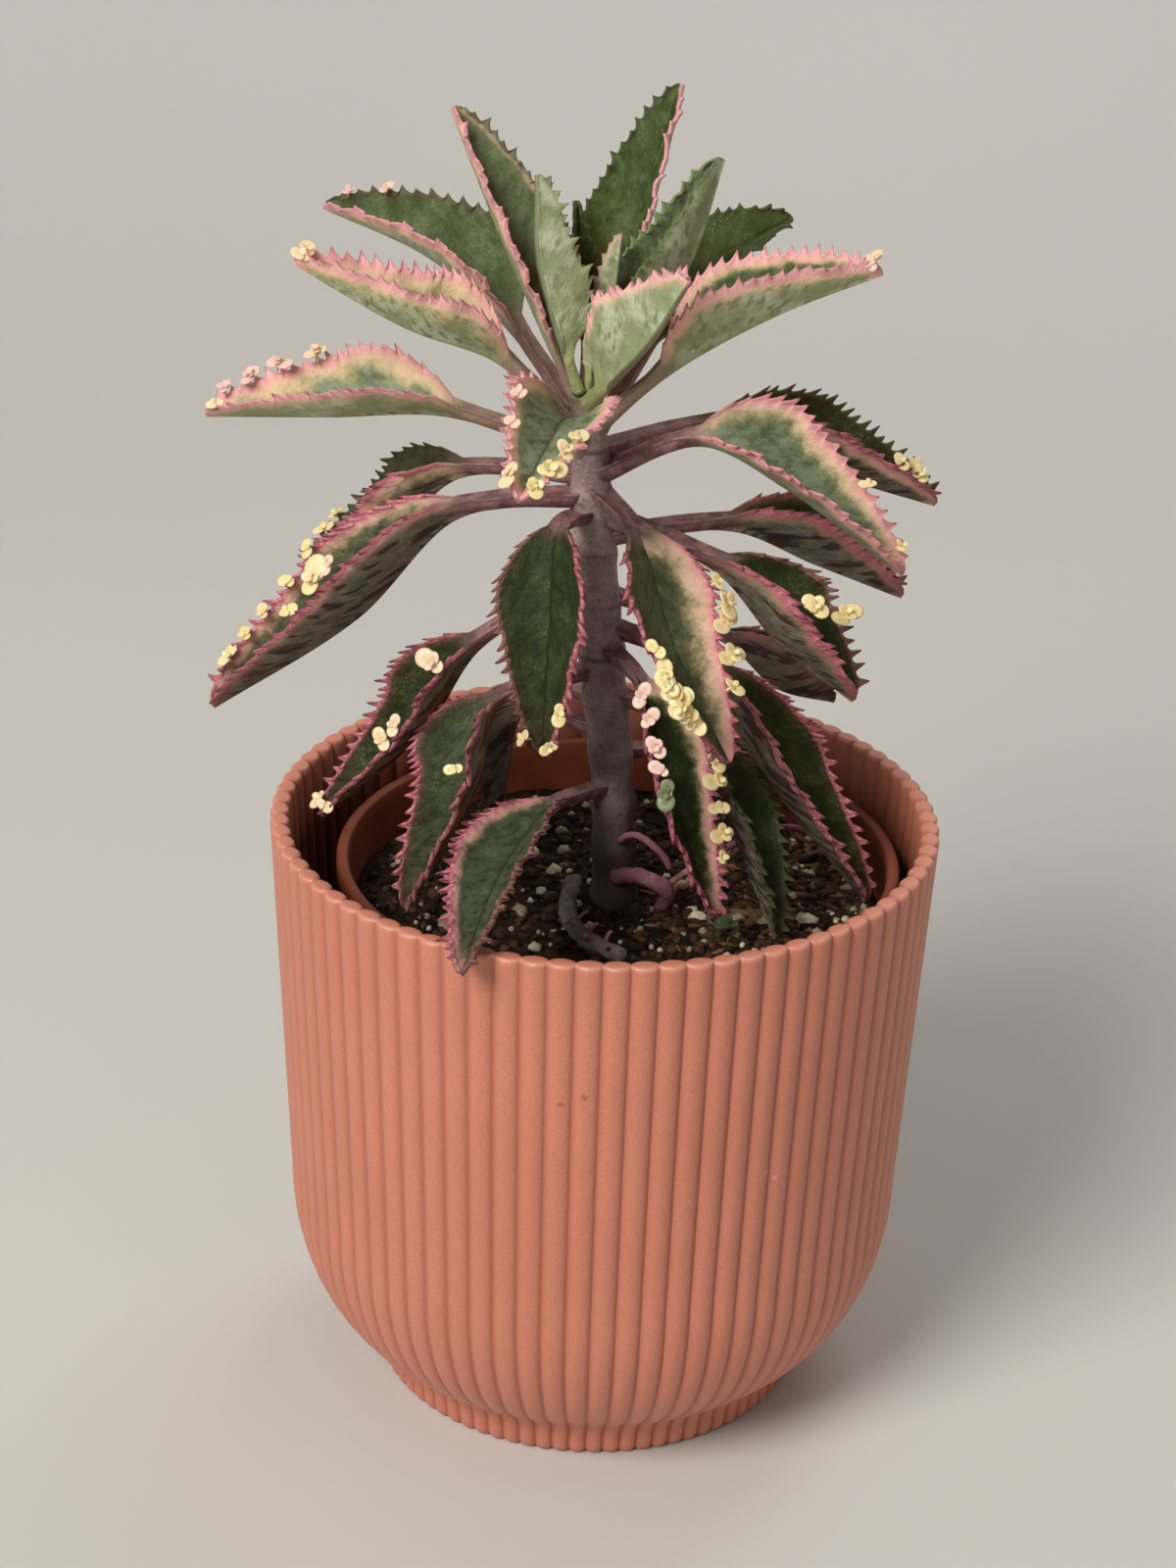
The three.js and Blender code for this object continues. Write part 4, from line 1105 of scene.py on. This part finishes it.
def build_leaf(leaf, index, materials):
    generator = random.Random(SEED + index)
    line = Line(leaf["path"])
    points, rings = [], []
    length = 0
    last = line.at(0)
    for t, share, along, teeth in leaf_rows(leaf, line, generator):
        spot = leaf_frame(leaf, line, t)
        length += np.linalg.norm(spot[0] - last)
        last = spot[0]
        blend = smooth(BLADE_FROM, BLADE_FULL, t)
        stalked = petiole_section(leaf, spot, share)
        bladed = blade_section(leaf, spot, along, teeth)
        points.extend(stalked * (1 - blend) + bladed * blend)
        rings.append(ring_layers(leaf, index, length, t, along, teeth, blend))
    faces = ring_faces(len(rings), len(SIDE))
    bud_points, bud_faces, tints = build_buds(leaf, line, generator)
    layers = {"tint": [0] * len(points) + tints}
    slots = [0] * len(faces) + [1] * len(bud_faces)
    join(points, faces, bud_points, bud_faces)
    for layer in rings[0]:
        values = np.concatenate([ring[layer] for ring in rings])
        layers[layer] = np.concatenate([values, np.zeros((len(bud_points), *values.shape[1:]))])
    name = "leaf_" + leaf["name"]
    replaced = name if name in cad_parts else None
    piece = add_piece(name + "_flesh", points, faces, materials, replaced, layers, slots)


def build_seedling(material):
    """A few round green leaves on a short stalk."""
    top = SEEDLING_AT
    stalk = [top - [0.5, -1, 6], top - [0.4, -0.6, 3.5], top - [0.2, -0.3, 1.5], top]
    points, faces = tube(stalk, 0.8, 10, 12)
    for lobe in range(SEEDLING_LOBES):
        angle = lobe * 2.4
        away = unit(np.array([math.cos(angle), math.sin(angle), 0.1 + 0.09 * lobe]))
        normal = unit(UP - away * UP.dot(away))
        join(points, faces, *bud_disc(top + away * 1.7, away, normal, 2.1 - 0.15 * lobe))
    layers = {"tint": [SEEDLING_TINT] * len(points)}
    piece = add_piece("seedling_leaves", points, faces, [material], "seedling", layers)


# Stage


def build_floor():
    n = Nodes("floor_paper")
    color = n.mix(n.noise(3, 2), (0.58, 0.565, 0.53), (0.61, 0.595, 0.56))
    material = n.finish(color, 0.8)
    mesh = bpy.data.meshes.new("floor")
    rows = [(-FLOOR_SIZE, 0)]
    for step in range(FLOOR_STEPS + 1):
        angle = math.pi / 2 * step / FLOOR_STEPS
        out, up = FLOOR_BEND * math.sin(angle), FLOOR_BEND * (1 - math.cos(angle))
        rows.append((FLOOR_BACK - FLOOR_BEND + out, up))
    rows.append((FLOOR_BACK, WALL_HEIGHT))
    corners = [(x, y, z) for y, z in rows for x in (-FLOOR_SIZE, FLOOR_SIZE)]
    quads = [(2 * row, 2 * row + 1, 2 * row + 3, 2 * row + 2) for row in range(len(rows) - 1)]
    mesh.from_pydata(corners, [], quads)
    mesh.materials.append(material)
    mesh.shade_smooth()
    floor = bpy.data.objects.new("floor", mesh)
    bpy.context.scene.collection.objects.link(floor)


def add_light(name, at, target, size, power, color):
    light = bpy.data.lights.new(name, "AREA")
    light.shape = "DISK"
    light.size = size
    light.energy = power
    light.color = color
    lamp = bpy.data.objects.new(name, light)
    lamp.location = at
    lamp.rotation_euler = (Vector(target) - Vector(at)).to_track_quat("-Z", "Y").to_euler()
    bpy.context.scene.collection.objects.link(lamp)


def build_lights():
    target = (0, 0, 0.14)
    add_light("key_window", (-0.85, -1.15, 1.35), target, 0.9, 32.5, (1.0, 0.98, 0.95))
    add_light("fill", (1.3, -1.0, 0.8), target, 1.2, 0.8, (1.0, 0.97, 0.93))
    add_light("back_light", (0.5, 0.9, 1.2), target, 0.8, 5, (1.0, 0.98, 0.96))
    world = bpy.data.worlds.new("studio")
    world.use_nodes = True
    world.node_tree.nodes["Background"].inputs["Color"].default_value = (0.9, 0.9, 0.9, 1)
    world.node_tree.nodes["Background"].inputs["Strength"].default_value = 0.29
    bpy.context.scene.world = world
    bpy.context.scene.view_settings.view_transform = "Standard"


def build_camera():
    camera = bpy.data.cameras.new("camera")
    camera.lens = CAMERA_LENS
    camera.sensor_width = CAMERA_SENSOR
    camera.clip_end = 20
    eye = bpy.data.objects.new("camera", camera)
    turn = Matrix.Translation(CAMERA_AT)
    for degrees, axis in ((-CAMERA_YAW, "Z"), (90 - CAMERA_PITCH, "X"), (CAMERA_ROLL, "Z")):
        turn = turn @ Matrix.Rotation(math.radians(degrees), 4, axis)
    eye.matrix_world = turn
    bpy.context.scene.collection.objects.link(eye)
    bpy.context.scene.camera = eye


build_pot(pot_material())
build_nursery_pot(nursery_material())
build_soil(soil_material())
build_litter()
build_stem(stem_material())
build_stalks()
flesh = [leaf_material(), bud_material()]
for number, shape in enumerate(LEAVES):
    build_leaf(shape, number, flesh)
build_seedling(flesh[1])
build_floor()
build_lights()
build_camera()
